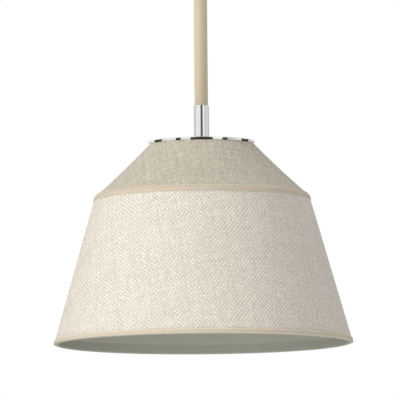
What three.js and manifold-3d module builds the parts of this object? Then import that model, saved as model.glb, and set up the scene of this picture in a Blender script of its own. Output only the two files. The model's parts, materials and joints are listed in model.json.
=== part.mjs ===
// A pendant lamp's two-tier fabric shade with its frame, socket, bulb, covered stem and ceiling fitting.
// Millimetres, +Z up. The origin is the middle of the mounting strap's top face, on the ceiling plane,
// and everything hangs below it, so heights are negative. The front of the shade faces -Y.

import * as THREE from "three";
import { mergeVertices } from "three/addons/utils/BufferGeometryUtils.js";
import Module from "manifold-3d";

const wasm = await Module();
wasm.setup();

// ---- Driving dimensions ----

const GAP = 0.3; // clearance between two pieces that bear on each other
const LARGE = 40; // facets round the shade and the canopy
const MEDIUM = 24; // facets round the bulb
const SMALL = 20; // facets round the stem, the socket and the nuts
const TINY = 12; // facets round screws and studs
const WIRE_SIDES = 6;
const CUT_PAST = 1; // how far a cutting tool runs past the face it cuts

// The shade: an upper cone and a lower cone that meet at the waist.
const RIM_RADIUS = 226.5;
const WAIST_RADIUS = 163;
const CROWN_RADIUS = 79.9;
const LOWER_TIER = 222.3;
const UPPER_TIER = 79.7;
const FABRIC = 0.9; // cloth
const LINER = 0.85; // styrene sheet that the cloth is laminated on
const SKIN_GAP = 0.25; // between cloth and liner
const TAPE = 0.8; // bias tape round the waist and the rim, and the binding of the rim's ring
const WAIST_TAPE_WIDTH = 11;
const RIM_TAPE_WIDTH = 5.5; // up the outside of the cloth
const RIM_TAPE_TUCK = 0.75; // under the cloth's edge
const WIRE_RADIUS = 1.5; // wire of the three rings
const SEAM_SETBACK = 0.4; // how far each panel stops short of the waist crease
const HUB_RADIUS = 15; // the plate in the middle of the crown's wire spider
const HUB_SHEET = 2.5;
const WASHER_RADIUS = 10;
const WASHER_SHEET = 1.2;

// The vented cap on the crown: a disc with a turned-down band, notched for the air.
const CAP_TOP = -370;
const CAP_RADIUS = 80.5;
const BAND_HEIGHT = 4.5;
const CAP_SHEET = 1.2;
// Each vent notch as [degrees round from the front, degrees wide], for one quarter of the band.
const VENT_QUARTER = [[0, 24], [26, 6], [55, 13], [90, 24]];

// The stem: two ferrules on a covered tube.
const FERRULE_RADIUS = 11.9;
const FERRULE_LENGTH = 55;
const FERRULE_MOUTH = 15; // how deep the covered tube enters a ferrule
const FERRULE_FLOOR = 12;
const SLEEVE_RADIUS = 10.3;
const SLEEVE = 0.5;
const TUBE_RADIUS = 9.5;
const TUBE_WALL = 1.2;

// Threaded nipples of 1/8 in pipe size, and every hole that takes one.
const NIPPLE_RADIUS = 5.05;
const NIPPLE_BORE = 3.6;
const NIPPLE_HOLE = NIPPLE_RADIUS + GAP;
const NUT_RADIUS = 8.1; // corner radius of the nuts on the nipples
const NUT_HEIGHT = 4;

// The ceiling fitting.
const STRAP_LENGTH = 104;
const STRAP_WIDTH = 20;
const STRAP_SHEET = 2;
const CANOPY_RADIUS = 63.5;
const CANOPY_HEIGHT = 25;
const CANOPY_WALL = 1.2;
const CANOPY_CORNER = 9;
const STUD_OFFSET = 24;
const STUD_RADIUS = 2;
const STUD_HOLE = STUD_RADIUS + GAP;
const GROUND_SCREW_X = 12;

// The swivel: a yoke that turns on the canopy, and a knuckle that tilts in it.
const PIVOT = -47;
const YOKE_RADIUS = 16;
const YOKE_PLATE = 6.6;
const YOKE_EAR_INSIDE = 12.3;
const KNUCKLE_EAR_INSIDE = 8.9;
const KNUCKLE_EAR_OUTSIDE = 11.9;
const KNUCKLE_PLATE_TOP = -57;
const KNUCKLE_PLATE = 4;
const PIVOT_SHANK = 2.2;

// The socket, and a bulb with the medium screw base.
const SOCKET_TOP = -383;
const SOCKET_MOUTH = -450;
const SOCKET_RADIUS = 18.2;
const SOCKET_CAP_HEIGHT = 19;
const SCREW_SHELL_RADIUS = 13.9;
const SCREW_SHELL_MOUTH = -440;
const BULB_TIP_TOP = -414.5;
const BULB_THREAD_RADIUS = 13;
const THREAD_PITCH = 3.629;
const GLOBE_RADIUS = 30;
const LEAD_RADIUS = 1.2;
const LEAD_OFFSET = 1.7; // each lead's distance from the stem's axis

// Heights that follow.
const CROWN = CAP_TOP - BAND_HEIGHT;
const WAIST = CROWN - UPPER_TIER;
const RIM = WAIST - LOWER_TIER;

// ---- Finishes ----

function finish(color, roughness, metalness) {
  return () => new THREE.MeshStandardMaterial({ color, roughness, metalness });
}

const polishedNickel = finish(0xd8d8d6, 0.12, 1);
const zincSteel = finish(0xb4b5b2, 0.42, 1);
const brass = finish(0xc9a45c, 0.3, 1);
const solder = finish(0xa9aaac, 0.35, 1);
const oatmealWeave = finish(0xe6dfd2, 0.95, 0);
const taupeLinen = finish(0xc8bfae, 0.92, 0);
const tanTape = finish(0xcfbfa3, 0.9, 0);
const tanSleeve = finish(0xcbbd9f, 0.45, 0);
const greyLiner = finish(0x98968a, 0.7, 0);
const greyBinding = finish(0x98968a, 0.9, 0);
const whiteEnamel = finish(0xdedcd4, 0.4, 0);
const phenolic = finish(0x1f1d1b, 0.45, 0);
const fibreboard = finish(0x8d7a5c, 0.95, 0);
const opalPlastic = finish(0xf4f2ea, 0.35, 0);
const circuitBoard = finish(0xe9ebe6, 0.5, 0.1);
const blackLead = finish(0x191919, 0.5, 0);
const whiteLead = finish(0xe3e1da, 0.5, 0);
const greenCoat = finish(0x2f6b3a, 0.45, 0.2);
const orangeNylon = finish(0xd9762b, 0.5, 0);

// ---- Solids and booleans ----

function toSolid(geometry) {
  const bare = geometry.clone();
  bare.deleteAttribute("normal");
  bare.deleteAttribute("uv");
  const merged = mergeVertices(bare, 1e-3);
  const triVerts = new Uint32Array(merged.index.array);
  const vertProperties = merged.attributes.position.array;
  return new wasm.Manifold(new wasm.Mesh({ numProp: 3, vertProperties, triVerts }));
}

function toGeometry(solid) {
  const { numProp, vertProperties, triVerts } = solid.getMesh();
  const position = new THREE.BufferAttribute(new Float32Array(vertProperties), numProp);
  const geometry = new THREE.BufferGeometry().setAttribute("position", position);
  geometry.setIndex(new THREE.BufferAttribute(triVerts, 1));
  geometry.computeVertexNormals();
  return geometry;
}

function join(...geometries) {
  return toGeometry(geometries.map(toSolid).reduce((whole, piece) => whole.add(piece)));
}

function cut(geometry, ...tools) {
  return toGeometry(tools.map(toSolid).reduce((left, tool) => left.subtract(tool), toSolid(geometry)));
}

function common(first, second) {
  return toGeometry(toSolid(first).intersect(toSolid(second)));
}

// ---- Shapes ----

// Twice the signed area of an outline, positive when it runs anticlockwise.
function turning(outline) {
  return outline.reduce((sum, [r, z], i) => {
    const [nextR, nextZ] = outline[(i + 1) % outline.length];
    return sum + r * nextZ - nextR * z;
  }, 0);
}

// A solid of revolution about Z from an outline of [radius, height] points, which either starts and ends
// on the axis or is closed here.
function turned(outline, facets = SMALL) {
  const ordered = turning(outline) > 0 ? outline : [...outline].reverse();
  const points = ordered.map(([r, z]) => new THREE.Vector2(r, z));
  const onAxis = points[0].x === 0 && points.at(-1).x === 0;
  if (!onAxis) points.push(points[0].clone());
  return new THREE.LatheGeometry(points, facets).rotateX(Math.PI / 2);
}

function tube(outer, inner, top, bottom, facets = SMALL) {
  return turned([[outer, top], [outer, bottom], [inner, bottom], [inner, top]], facets);
}

function rod(radius, top, bottom, facets = SMALL) {
  return turned([[0, top], [radius, top], [radius, bottom], [0, bottom]], facets);
}

// A rod that cuts right through whatever lies between top and bottom.
function hole(radius, top, bottom, facets = SMALL) {
  return rod(radius, top + CUT_PAST, bottom - CUT_PAST, facets);
}

// Points of an arc in the plane of [radius, height], angles in degrees from the outward direction. A point
// that falls on the axis is put exactly on it.
function arc(centreR, centreZ, radius, from, to, steps) {
  return Array.from({ length: steps + 1 }, (_, i) => {
    const angle = THREE.MathUtils.degToRad(from + ((to - from) * i) / steps);
    const r = centreR + radius * Math.cos(angle);
    return [Math.abs(r) < 1e-6 ? 0 : r, centreZ + radius * Math.sin(angle)];
  });
}

function hexNut(top, bottom) {
  const blank = new THREE.CylinderGeometry(NUT_RADIUS, NUT_RADIUS, top - bottom, 6);
  blank.rotateX(Math.PI / 2).translate(0, 0, (top + bottom) / 2);
  return cut(blank, hole(NIPPLE_HOLE, top, bottom));
}

function nipple(top, bottom) {
  return tube(NIPPLE_RADIUS, NIPPLE_BORE, top, bottom);
}

// An insulated wire through the given points.
function wire(points, steps) {
  const route = new THREE.CatmullRomCurve3(points.map((p) => new THREE.Vector3(...p)), false, "centripetal");
  const section = new THREE.Shape();
  section.absarc(0, 0, LEAD_RADIUS, 0, 2 * Math.PI);
  return new THREE.ExtrudeGeometry(section, { extrudePath: route, steps, curveSegments: WIRE_SIDES / 2 });
}

// ---- The object ----

const lamp = new THREE.Group();

function add(name, geometry, material) {
  const mesh = new THREE.Mesh(geometry, material());
  mesh.name = name;
  lamp.add(mesh);
}

// One piece on each side of the YZ plane, right first.
function addPair(name, makeGeometry, material) {
  for (const [side, sign] of [["right", 1], ["left", -1]]) {
    add(`${name}_${side}`, makeGeometry(sign), material);
  }
}

// ---- Ceiling fitting ----

function slot(fromX, toX, radius) {
  const path = new THREE.Path();
  path.absarc(fromX, 0, radius, Math.PI / 2, (3 * Math.PI) / 2);
  path.absarc(toX, 0, radius, -Math.PI / 2, Math.PI / 2);
  path.closePath();
  return path;
}

function circle(x, radius) {
  const path = new THREE.Path();
  path.absarc(x, 0, radius, 0, 2 * Math.PI);
  return path;
}

function mountingStrap() {
  const boxSlot = { from: 33, to: 45.5, radius: 2.4 }; // takes screws 70 to 89 mm apart
  const cornerRadius = STRAP_WIDTH / 2;
  const endX = STRAP_LENGTH / 2 - cornerRadius;
  const outline = new THREE.Shape();
  outline.absarc(endX, 0, cornerRadius, -Math.PI / 2, Math.PI / 2);
  outline.absarc(-endX, 0, cornerRadius, Math.PI / 2, (3 * Math.PI) / 2);
  outline.holes.push(circle(GROUND_SCREW_X, STUD_HOLE));
  for (const sign of [1, -1]) {
    const [near, far] = [sign * boxSlot.from, sign * boxSlot.to];
    outline.holes.push(slot(Math.min(near, far), Math.max(near, far), boxSlot.radius));
    outline.holes.push(circle(sign * STUD_OFFSET, STUD_HOLE));
  }
  const strap = new THREE.ExtrudeGeometry(outline, {
    depth: STRAP_SHEET, bevelEnabled: false, curveSegments: 8,
  });
  return strap.translate(0, 0, -STRAP_SHEET);
}

function groundScrew() {
  const headTop = -STRAP_SHEET - GAP;
  const headRadius = 4;
  const headHeight = 2.2;
  return turned([
    [0, -GAP], [STUD_RADIUS, -GAP], [STUD_RADIUS, headTop], [headRadius, headTop],
    [headRadius, headTop - headHeight], [0, headTop - headHeight],
  ], TINY).translate(GROUND_SCREW_X, 0, 0);
}

function canopy() {
  const cornerR = CANOPY_RADIUS - CANOPY_CORNER;
  const cornerZ = -CANOPY_HEIGHT + CANOPY_CORNER;
  const cornerSteps = 4;
  const cup = turned([
    [CANOPY_RADIUS, 0],
    ...arc(cornerR, cornerZ, CANOPY_CORNER, 0, -90, cornerSteps),
    [NIPPLE_HOLE, -CANOPY_HEIGHT],
    [NIPPLE_HOLE, -CANOPY_HEIGHT + CANOPY_WALL],
    ...arc(cornerR, cornerZ, CANOPY_CORNER - CANOPY_WALL, -90, 0, cornerSteps),
    [CANOPY_RADIUS - CANOPY_WALL, 0],
  ], LARGE);
  const studHoles = [1, -1].map((sign) =>
    hole(STUD_HOLE, -CANOPY_HEIGHT + CANOPY_WALL, -CANOPY_HEIGHT, TINY).translate(sign * STUD_OFFSET, 0, 0));
  return cut(cup, ...studHoles);
}

function canopyCapNut(sign) {
  const top = -CANOPY_HEIGHT - GAP;
  const radius = 4.6;
  const skirt = 3.4;
  const boreEnd = top - 6.5;
  return turned([
    [0, boreEnd], [STUD_HOLE, boreEnd], [STUD_HOLE, top], [radius, top],
    ...arc(0, top - skirt, radius, 0, -90, 4),
  ], TINY).translate(sign * STUD_OFFSET, 0, 0);
}

function addCeilingFitting() {
  const studPastCanopy = 6;
  const nippleInCanopy = 9;
  const retainingNutRadius = 8;
  const studBottom = -CANOPY_HEIGHT - studPastCanopy;
  const yokeTop = -CANOPY_HEIGHT - GAP;
  const retainingNutTop = yokeTop - YOKE_PLATE - GAP;
  const retainingNutBottom = retainingNutTop - NUT_HEIGHT;
  const insideBottom = -CANOPY_HEIGHT + CANOPY_WALL;
  const lockNutBottom = insideBottom + GAP;
  add("mounting_strap", mountingStrap(), zincSteel);
  add("ground_screw", groundScrew(), greenCoat);
  add("canopy", canopy(), polishedNickel);
  addPair("canopy_stud", (sign) =>
    rod(STUD_RADIUS, -GAP, studBottom, TINY).translate(sign * STUD_OFFSET, 0, 0), zincSteel);
  addPair("canopy_cap_nut", canopyCapNut, polishedNickel);
  add("canopy_nipple", nipple(insideBottom + nippleInCanopy, retainingNutBottom), zincSteel);
  add("canopy_lock_nut", hexNut(lockNutBottom + NUT_HEIGHT, lockNutBottom), zincSteel);
  add("swivel_retaining_nut", tube(retainingNutRadius, NIPPLE_HOLE, retainingNutTop, retainingNutBottom),
    zincSteel);
}

// ---- Swivel ----

// An ear in a plane square to X: straight down from rootZ and round about the pivot.
function ear(fromX, toX, halfWidth, rootZ) {
  const outline = new THREE.Shape();
  const away = rootZ > PIVOT ? 1 : -1;
  outline.moveTo(-halfWidth, rootZ - PIVOT);
  outline.lineTo(-halfWidth, 0);
  outline.absarc(0, 0, halfWidth, Math.PI, 0, away < 0);
  outline.lineTo(halfWidth, rootZ - PIVOT);
  const plate = new THREE.ExtrudeGeometry(outline, {
    depth: toX - fromX, bevelEnabled: false, curveSegments: TINY / 2,
  });
  // The outline's X and Y become the object's Y and Z, and its depth runs along X.
  plate.applyMatrix4(new THREE.Matrix4().makeBasis(
    new THREE.Vector3(0, 1, 0), new THREE.Vector3(0, 0, 1), new THREE.Vector3(1, 0, 0)));
  return plate.translate(fromX, 0, PIVOT);
}

function pivotHole() {
  const length = 4 * YOKE_RADIUS;
  return rod(PIVOT_SHANK + GAP, length / 2, -length / 2, SMALL).rotateY(Math.PI / 2).translate(0, 0, PIVOT);
}

function swivelYoke() {
  const top = -CANOPY_HEIGHT - GAP;
  const halfWidth = 7.5;
  const rootZ = top - YOKE_PLATE + CUT_PAST;
  const ears = [
    ear(YOKE_EAR_INSIDE, YOKE_RADIUS, halfWidth, rootZ),
    ear(-YOKE_RADIUS, -YOKE_EAR_INSIDE, halfWidth, rootZ),
  ];
  const blank = join(rod(YOKE_RADIUS, top, top - YOKE_PLATE), ...ears);
  const round = rod(YOKE_RADIUS, top, PIVOT - halfWidth);
  return cut(common(blank, round), hole(NIPPLE_HOLE, top, top - YOKE_PLATE), pivotHole());
}

function pivotScrew(sign) {
  const tip = KNUCKLE_EAR_INSIDE + GAP;
  const headInside = YOKE_RADIUS + GAP;
  const headOutside = headInside + 2.3;
  const headRadius = 4.2;
  const chamfer = 0.8;
  const screw = turned([
    [0, tip], [PIVOT_SHANK, tip], [PIVOT_SHANK, headInside], [headRadius, headInside],
    [headRadius, headOutside - chamfer], [headRadius - chamfer, headOutside], [0, headOutside],
  ], SMALL);
  return screw.rotateY((sign * Math.PI) / 2).translate(0, 0, PIVOT);
}

function stemKnuckle() {
  const halfWidth = 6.5;
  const rootZ = KNUCKLE_PLATE_TOP - CUT_PAST;
  const plate = tube(KNUCKLE_EAR_OUTSIDE, NIPPLE_HOLE, KNUCKLE_PLATE_TOP, KNUCKLE_PLATE_TOP - KNUCKLE_PLATE);
  const ears = [
    ear(KNUCKLE_EAR_INSIDE, KNUCKLE_EAR_OUTSIDE, halfWidth, rootZ),
    ear(-KNUCKLE_EAR_OUTSIDE, -KNUCKLE_EAR_INSIDE, halfWidth, rootZ),
  ];
  const round = rod(KNUCKLE_EAR_OUTSIDE, PIVOT + halfWidth, KNUCKLE_PLATE_TOP - KNUCKLE_PLATE);
  return cut(common(join(plate, ...ears), round), pivotHole());
}

function addSwivel() {
  add("swivel_yoke", swivelYoke(), polishedNickel);
  addPair("pivot_screw", pivotScrew, polishedNickel);
  add("stem_knuckle", stemKnuckle(), polishedNickel);
}

// ---- Stem ----

// A ferrule whose floor is at floorZ and whose mouth lies along direction (1 up, -1 down) from it.
function ferrule(floorZ, direction) {
  const at = (distance) => floorZ + direction * distance;
  const chamfer = 0.6;
  const wireSpace = 8.5;
  const mouthRadius = SLEEVE_RADIUS + GAP;
  return turned([
    [NIPPLE_HOLE, at(0)],
    [FERRULE_RADIUS - chamfer, at(0)],
    [FERRULE_RADIUS, at(chamfer)],
    [FERRULE_RADIUS, at(FERRULE_LENGTH - chamfer)],
    [FERRULE_RADIUS - chamfer, at(FERRULE_LENGTH)],
    [mouthRadius, at(FERRULE_LENGTH)],
    [mouthRadius, at(FERRULE_LENGTH - FERRULE_MOUTH)],
    [wireSpace, at(FERRULE_LENGTH - FERRULE_MOUTH)],
    [wireSpace, at(FERRULE_FLOOR)],
    [NIPPLE_HOLE, at(FERRULE_FLOOR)],
  ]);
}

function addStem() {
  const upperFloor = KNUCKLE_PLATE_TOP - KNUCKLE_PLATE - GAP;
  const lowerFloor = CAP_TOP + GAP;
  const nippleInSocket = 9;
  const seat = FERRULE_LENGTH - FERRULE_MOUTH + GAP;
  const tubeTop = upperFloor - seat;
  const tubeBottom = lowerFloor + seat;
  add("stem_nipple", nipple(KNUCKLE_PLATE_TOP, upperFloor - FERRULE_FLOOR), zincSteel);
  add("upper_ferrule", ferrule(upperFloor, -1), polishedNickel);
  add("stem_tube", tube(TUBE_RADIUS, TUBE_RADIUS - TUBE_WALL, tubeTop, tubeBottom), zincSteel);
  add("stem_sleeve", tube(SLEEVE_RADIUS, SLEEVE_RADIUS - SLEEVE, tubeTop, tubeBottom), tanSleeve);
  add("lower_ferrule", ferrule(lowerFloor, 1), polishedNickel);
  add("shade_nipple", nipple(lowerFloor + FERRULE_FLOOR, SOCKET_TOP - nippleInSocket), zincSteel);
}

// ---- Shade ----

const PROFILE = [[CROWN_RADIUS, CROWN], [WAIST_RADIUS, WAIST], [RIM_RADIUS, RIM]].map(
  ([r, z]) => new THREE.Vector2(r, z));

// The outward normal of the shade's straight side from point i to point i + 1.
function sideNormal(i) {
  const along = PROFILE[i + 1].clone().sub(PROFILE[i]).normalize();
  return new THREE.Vector2(-along.y, along.x);
}

// The shade's profile moved out by a distance (in, when negative), mitred at the waist.
function offsetProfile(distance) {
  const [upper, lower] = [sideNormal(0), sideNormal(1)];
  const mitre = upper.clone().add(lower).divideScalar(1 + upper.dot(lower));
  return [upper, mitre, lower].map((shift, i) => PROFILE[i].clone().addScaledVector(shift, distance));
}

// A point on side i of an offset profile, a distance along it from its start, or back from its end.
function onSide(distance, i, along) {
  const [start, end] = offsetProfile(distance).slice(i, i + 2);
  const direction = end.clone().sub(start).normalize();
  const from = along < 0 ? end : start;
  return from.clone().addScaledVector(direction, along).toArray();
}

// A conical panel on side i, between two offsets from the cloth's outer face.
function panel(i, outside, inside) {
  const startBack = i === 0 ? 0 : SEAM_SETBACK;
  const endBack = i === 0 ? SEAM_SETBACK : 0;
  const [outerStart, innerStart] = [outside, inside].map((d) => onSide(d, i, startBack));
  const [outerEnd, innerEnd] = [outside, inside].map((d) => {
    const [from, to] = offsetProfile(d).slice(i, i + 2);
    return to.clone().addScaledVector(to.clone().sub(from).normalize(), -endBack).toArray();
  });
  return turned([outerStart, outerEnd, innerEnd, innerStart], LARGE);
}

const LINER_OUTSIDE = -FABRIC - SKIN_GAP;
const LINER_INSIDE = LINER_OUTSIDE - LINER;
const WIRE_CENTRE = LINER_INSIDE - GAP - WIRE_RADIUS;
const HUB_TOP = CAP_TOP - CAP_SHEET - GAP;

// A ring of wire centred at [radius, height].
function wireRing([radius, height]) {
  return turned(arc(radius, height, WIRE_RADIUS, 0, 300, 5), LARGE);
}

function crownRingCentre() {
  return onSide(WIRE_CENTRE, 0, WIRE_RADIUS);
}

function shadeSpider() {
  const [ringRadius, ringHeight] = crownRingCentre();
  const armWidth = 7;
  const armSheet = 2;
  const armInHub = 3;
  const armStart = new THREE.Vector3(HUB_RADIUS - armInHub, 0, HUB_TOP - HUB_SHEET / 2);
  const armEnd = new THREE.Vector3(ringRadius, 0, ringHeight);
  const armVector = armEnd.clone().sub(armStart);
  const armMiddle = armStart.clone().add(armEnd).divideScalar(2);
  const arms = [90, 210, 330].map((degrees) => {
    const arm = new THREE.BoxGeometry(armVector.length(), armWidth, armSheet);
    arm.rotateY(-Math.atan2(armVector.z, armVector.x)).translate(...armMiddle.toArray());
    return arm.rotateZ(THREE.MathUtils.degToRad(degrees));
  });
  const hub = rod(HUB_RADIUS, HUB_TOP, HUB_TOP - HUB_SHEET);
  const frame = join(wireRing([ringRadius, ringHeight]), hub, ...arms);
  return cut(frame, hole(NIPPLE_HOLE, HUB_TOP, HUB_TOP - HUB_SHEET));
}

// A cutter for one vent notch, centred a number of degrees round from the front.
function ventCutter(azimuth, width) {
  const start = THREE.MathUtils.degToRad(azimuth - width / 2 - 90);
  const end = THREE.MathUtils.degToRad(azimuth + width / 2 - 90);
  const sector = new THREE.Shape();
  sector.absarc(0, 0, CAP_RADIUS + CUT_PAST, start, end, false);
  sector.absarc(0, 0, CAP_RADIUS - CAP_SHEET - CUT_PAST, end, start, true);
  const cutter = new THREE.ExtrudeGeometry(sector, {
    depth: BAND_HEIGHT, bevelEnabled: false, curveSegments: 3,
  });
  return cutter.translate(0, 0, CAP_TOP - CAP_SHEET - GAP - BAND_HEIGHT);
}

// Every angle round from the front that one quarter's notch is mirrored to, each once.
function mirrored(azimuth) {
  const around = [azimuth, -azimuth, 180 - azimuth, 180 + azimuth].map((a) => (a + 360) % 360);
  return [...new Set(around)];
}

function ventCap() {
  const bandBottom = CROWN + GAP;
  const bandInside = CAP_RADIUS - CAP_SHEET;
  const pan = turned([
    [NIPPLE_HOLE, CAP_TOP], [CAP_RADIUS, CAP_TOP], [CAP_RADIUS, bandBottom],
    [bandInside, bandBottom], [bandInside, CAP_TOP - CAP_SHEET], [NIPPLE_HOLE, CAP_TOP - CAP_SHEET],
  ], LARGE);
  const notches = VENT_QUARTER.flatMap(([azimuth, width]) =>
    mirrored(azimuth).map((angle) => ventCutter(angle, width)));
  return cut(pan, ...notches);
}

// Bias tape folded over the waist crease, half of its width on each tier.
function waistTape() {
  const half = WAIST_TAPE_WIDTH / 2;
  const [near, far] = [GAP, GAP + TAPE];
  const crease = (distance) => offsetProfile(distance)[1].toArray();
  return turned([
    onSide(near, 0, -half), crease(near), onSide(near, 1, half),
    onSide(far, 1, half), crease(far), onSide(far, 0, -half),
  ], LARGE);
}

// A point past the end of the lower side of an offset profile.
function belowRim(distance, drop) {
  const [start, end] = offsetProfile(distance).slice(1);
  return end.clone().addScaledVector(end.clone().sub(start).normalize(), drop).toArray();
}

// Bias tape folded over the cloth's edge at the rim.
function rimTape() {
  const [near, far] = [GAP, GAP + TAPE];
  return turned([
    onSide(near, 1, -RIM_TAPE_WIDTH),
    onSide(far, 1, -RIM_TAPE_WIDTH),
    belowRim(far, near),
    belowRim(near, far),
    belowRim(-RIM_TAPE_TUCK, far),
    belowRim(-RIM_TAPE_TUCK, near),
    belowRim(near, near),
  ], LARGE);
}

// The strip that binds the rim's ring to the liner: from the liner's edge, under the wire and over it,
// then straight up to the liner and on up over it.
function rimBinding() {
  const [near, far] = [GAP, GAP + TAPE];
  const start = -RIM_TAPE_TUCK - GAP;
  const overWire = WIRE_CENTRE - WIRE_RADIUS - GAP;
  const onLiner = LINER_INSIDE - GAP;
  const leavesWire = -1.5 * WIRE_RADIUS;
  const meetsLiner = -14;
  const end = -44;
  return turned([
    belowRim(start, near),
    belowRim(start, far),
    belowRim(overWire, far),
    belowRim(overWire - TAPE, near),
    onSide(overWire - TAPE, 1, leavesWire),
    onSide(onLiner - TAPE, 1, meetsLiner),
    onSide(onLiner - TAPE, 1, end),
    onSide(onLiner, 1, end),
    onSide(onLiner, 1, meetsLiner),
    onSide(overWire, 1, leavesWire),
    belowRim(overWire, near),
  ], LARGE);
}

function addShade() {
  const washerTop = HUB_TOP - HUB_SHEET - GAP;
  const washerBottom = washerTop - WASHER_SHEET;
  const lockNutTop = washerBottom - GAP;
  add("vent_cap", ventCap(), polishedNickel);
  add("shade_spider", shadeSpider(), whiteEnamel);
  add("spider_washer", tube(WASHER_RADIUS, NIPPLE_HOLE, washerTop, washerBottom), zincSteel);
  add("spider_lock_nut", hexNut(lockNutTop, lockNutTop - NUT_HEIGHT), zincSteel);
  add("waist_ring", wireRing(offsetProfile(WIRE_CENTRE)[1].toArray()), whiteEnamel);
  add("rim_ring", wireRing(onSide(WIRE_CENTRE, 1, -WIRE_RADIUS)), whiteEnamel);
  add("upper_liner", panel(0, LINER_OUTSIDE, LINER_INSIDE), greyLiner);
  add("lower_liner", panel(1, LINER_OUTSIDE, LINER_INSIDE), greyLiner);
  add("upper_fabric", panel(0, 0, -FABRIC), taupeLinen);
  add("lower_fabric", panel(1, 0, -FABRIC), oatmealWeave);
  add("waist_tape", waistTape(), tanTape);
  add("rim_tape", rimTape(), tanTape);
  add("rim_binding", rimBinding(), greyBinding);
}

// ---- Socket ----

const BASE_TOP = SOCKET_TOP - 22;
const BASE_BOTTOM = BASE_TOP - 8;
const TERMINAL_X = 10;
const TERMINAL_SHANK = 1.2;

function socketCap() {
  const wall = 0.9;
  const shoulder = 11;
  const corner = SOCKET_RADIUS - shoulder;
  const skirt = SOCKET_TOP - SOCKET_CAP_HEIGHT;
  return turned([
    [NIPPLE_HOLE, SOCKET_TOP],
    ...arc(shoulder, SOCKET_TOP - corner, corner, 90, 0, 4),
    [SOCKET_RADIUS, skirt], [SOCKET_RADIUS - wall, skirt],
    ...arc(shoulder, SOCKET_TOP - corner, corner - wall, 0, 90, 4),
    [NIPPLE_HOLE, SOCKET_TOP - wall],
  ]);
}

function socketBase() {
  const radius = 16.2;
  const holeRadius = TERMINAL_SHANK + GAP;
  const holes = [-TERMINAL_X, 0, TERMINAL_X].map((x) =>
    hole(holeRadius, BASE_TOP, BASE_BOTTOM, TINY).translate(x, 0, 0));
  return cut(rod(radius, BASE_TOP, BASE_BOTTOM), ...holes);
}

function terminalScrew(sign) {
  const headBottom = BASE_TOP + GAP;
  const headTop = headBottom + 1.8;
  const headRadius = 2.9;
  const tip = headBottom - 5;
  return turned([
    [0, tip], [TERMINAL_SHANK, tip], [TERMINAL_SHANK, headBottom], [headRadius, headBottom],
    [headRadius, headTop], [0, headTop],
  ], TINY).translate(sign * TERMINAL_X, 0, 0);
}

function socketScrewShell() {
  const top = BASE_BOTTOM - GAP;
  const wall = 0.5;
  const flangeInside = 8;
  const inside = SCREW_SHELL_RADIUS - wall;
  return turned([
    [flangeInside, top], [SCREW_SHELL_RADIUS, top], [SCREW_SHELL_RADIUS, SCREW_SHELL_MOUTH],
    [inside, SCREW_SHELL_MOUTH], [inside, top - wall], [flangeInside, top - wall],
  ]);
}

function socketContact() {
  const top = BASE_BOTTOM - GAP;
  const rivetTop = BASE_BOTTOM + 5;
  const radius = 5;
  const sheet = 0.8;
  return turned([
    [0, rivetTop], [TERMINAL_SHANK, rivetTop], [TERMINAL_SHANK, top], [radius, top],
    [radius, top - sheet], [0, top - sheet],
  ], TINY);
}

function addSocket() {
  const shellTop = SOCKET_TOP - SOCKET_CAP_HEIGHT - GAP;
  const wall = 0.6;
  const sleeveSetback = 1;
  const sleeveOutside = SOCKET_RADIUS - wall - GAP;
  add("socket_cap", socketCap(), polishedNickel);
  add("socket_shell", tube(SOCKET_RADIUS, SOCKET_RADIUS - wall, shellTop, SOCKET_MOUTH), polishedNickel);
  add("socket_insulating_sleeve",
    tube(sleeveOutside, sleeveOutside - wall, shellTop - sleeveSetback, SOCKET_MOUTH + sleeveSetback),
    fibreboard);
  add("socket_base", socketBase(), phenolic);
  add("terminal_screw_hot", terminalScrew(1), brass);
  add("terminal_screw_neutral", terminalScrew(-1), solder);
  add("socket_screw_shell", socketScrewShell(), brass);
  add("socket_contact", socketContact(), brass);
}

// ---- Bulb ----

const BULB_TIP_HEIGHT = 1.8;
const BULB_SHELL_TOP = BULB_TIP_TOP - 6.3;
const BULB_SHELL_BOTTOM = BULB_SHELL_TOP - 20.7;
const HOUSING_TOP = BULB_SHELL_BOTTOM - GAP;
const HOUSING_BOTTOM = HOUSING_TOP - 36.2;
const GLOBE_CENTRE = HOUSING_BOTTOM - 16;

function bulbTip() {
  const bottom = BULB_TIP_TOP - BULB_TIP_HEIGHT;
  const [crown, radius, edge] = [2.4, 4.4, 0.7];
  return turned([
    [0, BULB_TIP_TOP], [crown, BULB_TIP_TOP], [radius, bottom + edge], [radius, bottom], [0, bottom],
  ]);
}

function bulbInsulator() {
  const top = BULB_TIP_TOP - BULB_TIP_HEIGHT - GAP;
  const bottom = BULB_SHELL_TOP + GAP;
  const [crown, radius, edge] = [5, 11.8, 0.8];
  return turned([[0, top], [crown, top], [radius, bottom + edge], [radius, bottom], [0, bottom]]);
}

// The screw shell, with its thread drawn as rings of the same pitch and depth.
function bulbScrewShell() {
  const root = BULB_THREAD_RADIUS - 0.9;
  const inner = root - 0.8;
  const crests = 4;
  const halfCrest = 0.5;
  const collarTop = BULB_SHELL_BOTTOM + 1.5;
  const firstCrest = BULB_SHELL_TOP - THREAD_PITCH;
  const thread = Array.from({ length: crests }, (_, i) => firstCrest - i * THREAD_PITCH).flatMap((z) => [
    [root, z + THREAD_PITCH / 2], [BULB_THREAD_RADIUS, z + halfCrest], [BULB_THREAD_RADIUS, z - halfCrest],
  ]);
  return turned([
    [inner, BULB_SHELL_TOP], [root, BULB_SHELL_TOP], ...thread,
    [root, collarTop + 2 * halfCrest], [BULB_THREAD_RADIUS, collarTop],
    [BULB_THREAD_RADIUS, BULB_SHELL_BOTTOM], [inner, BULB_SHELL_BOTTOM],
  ]);
}

function housingRadius(share) {
  const [neck, mouth] = [13.8, 25.9];
  return neck + (mouth - neck) * share * share * (3 - 2 * share);
}

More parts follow.
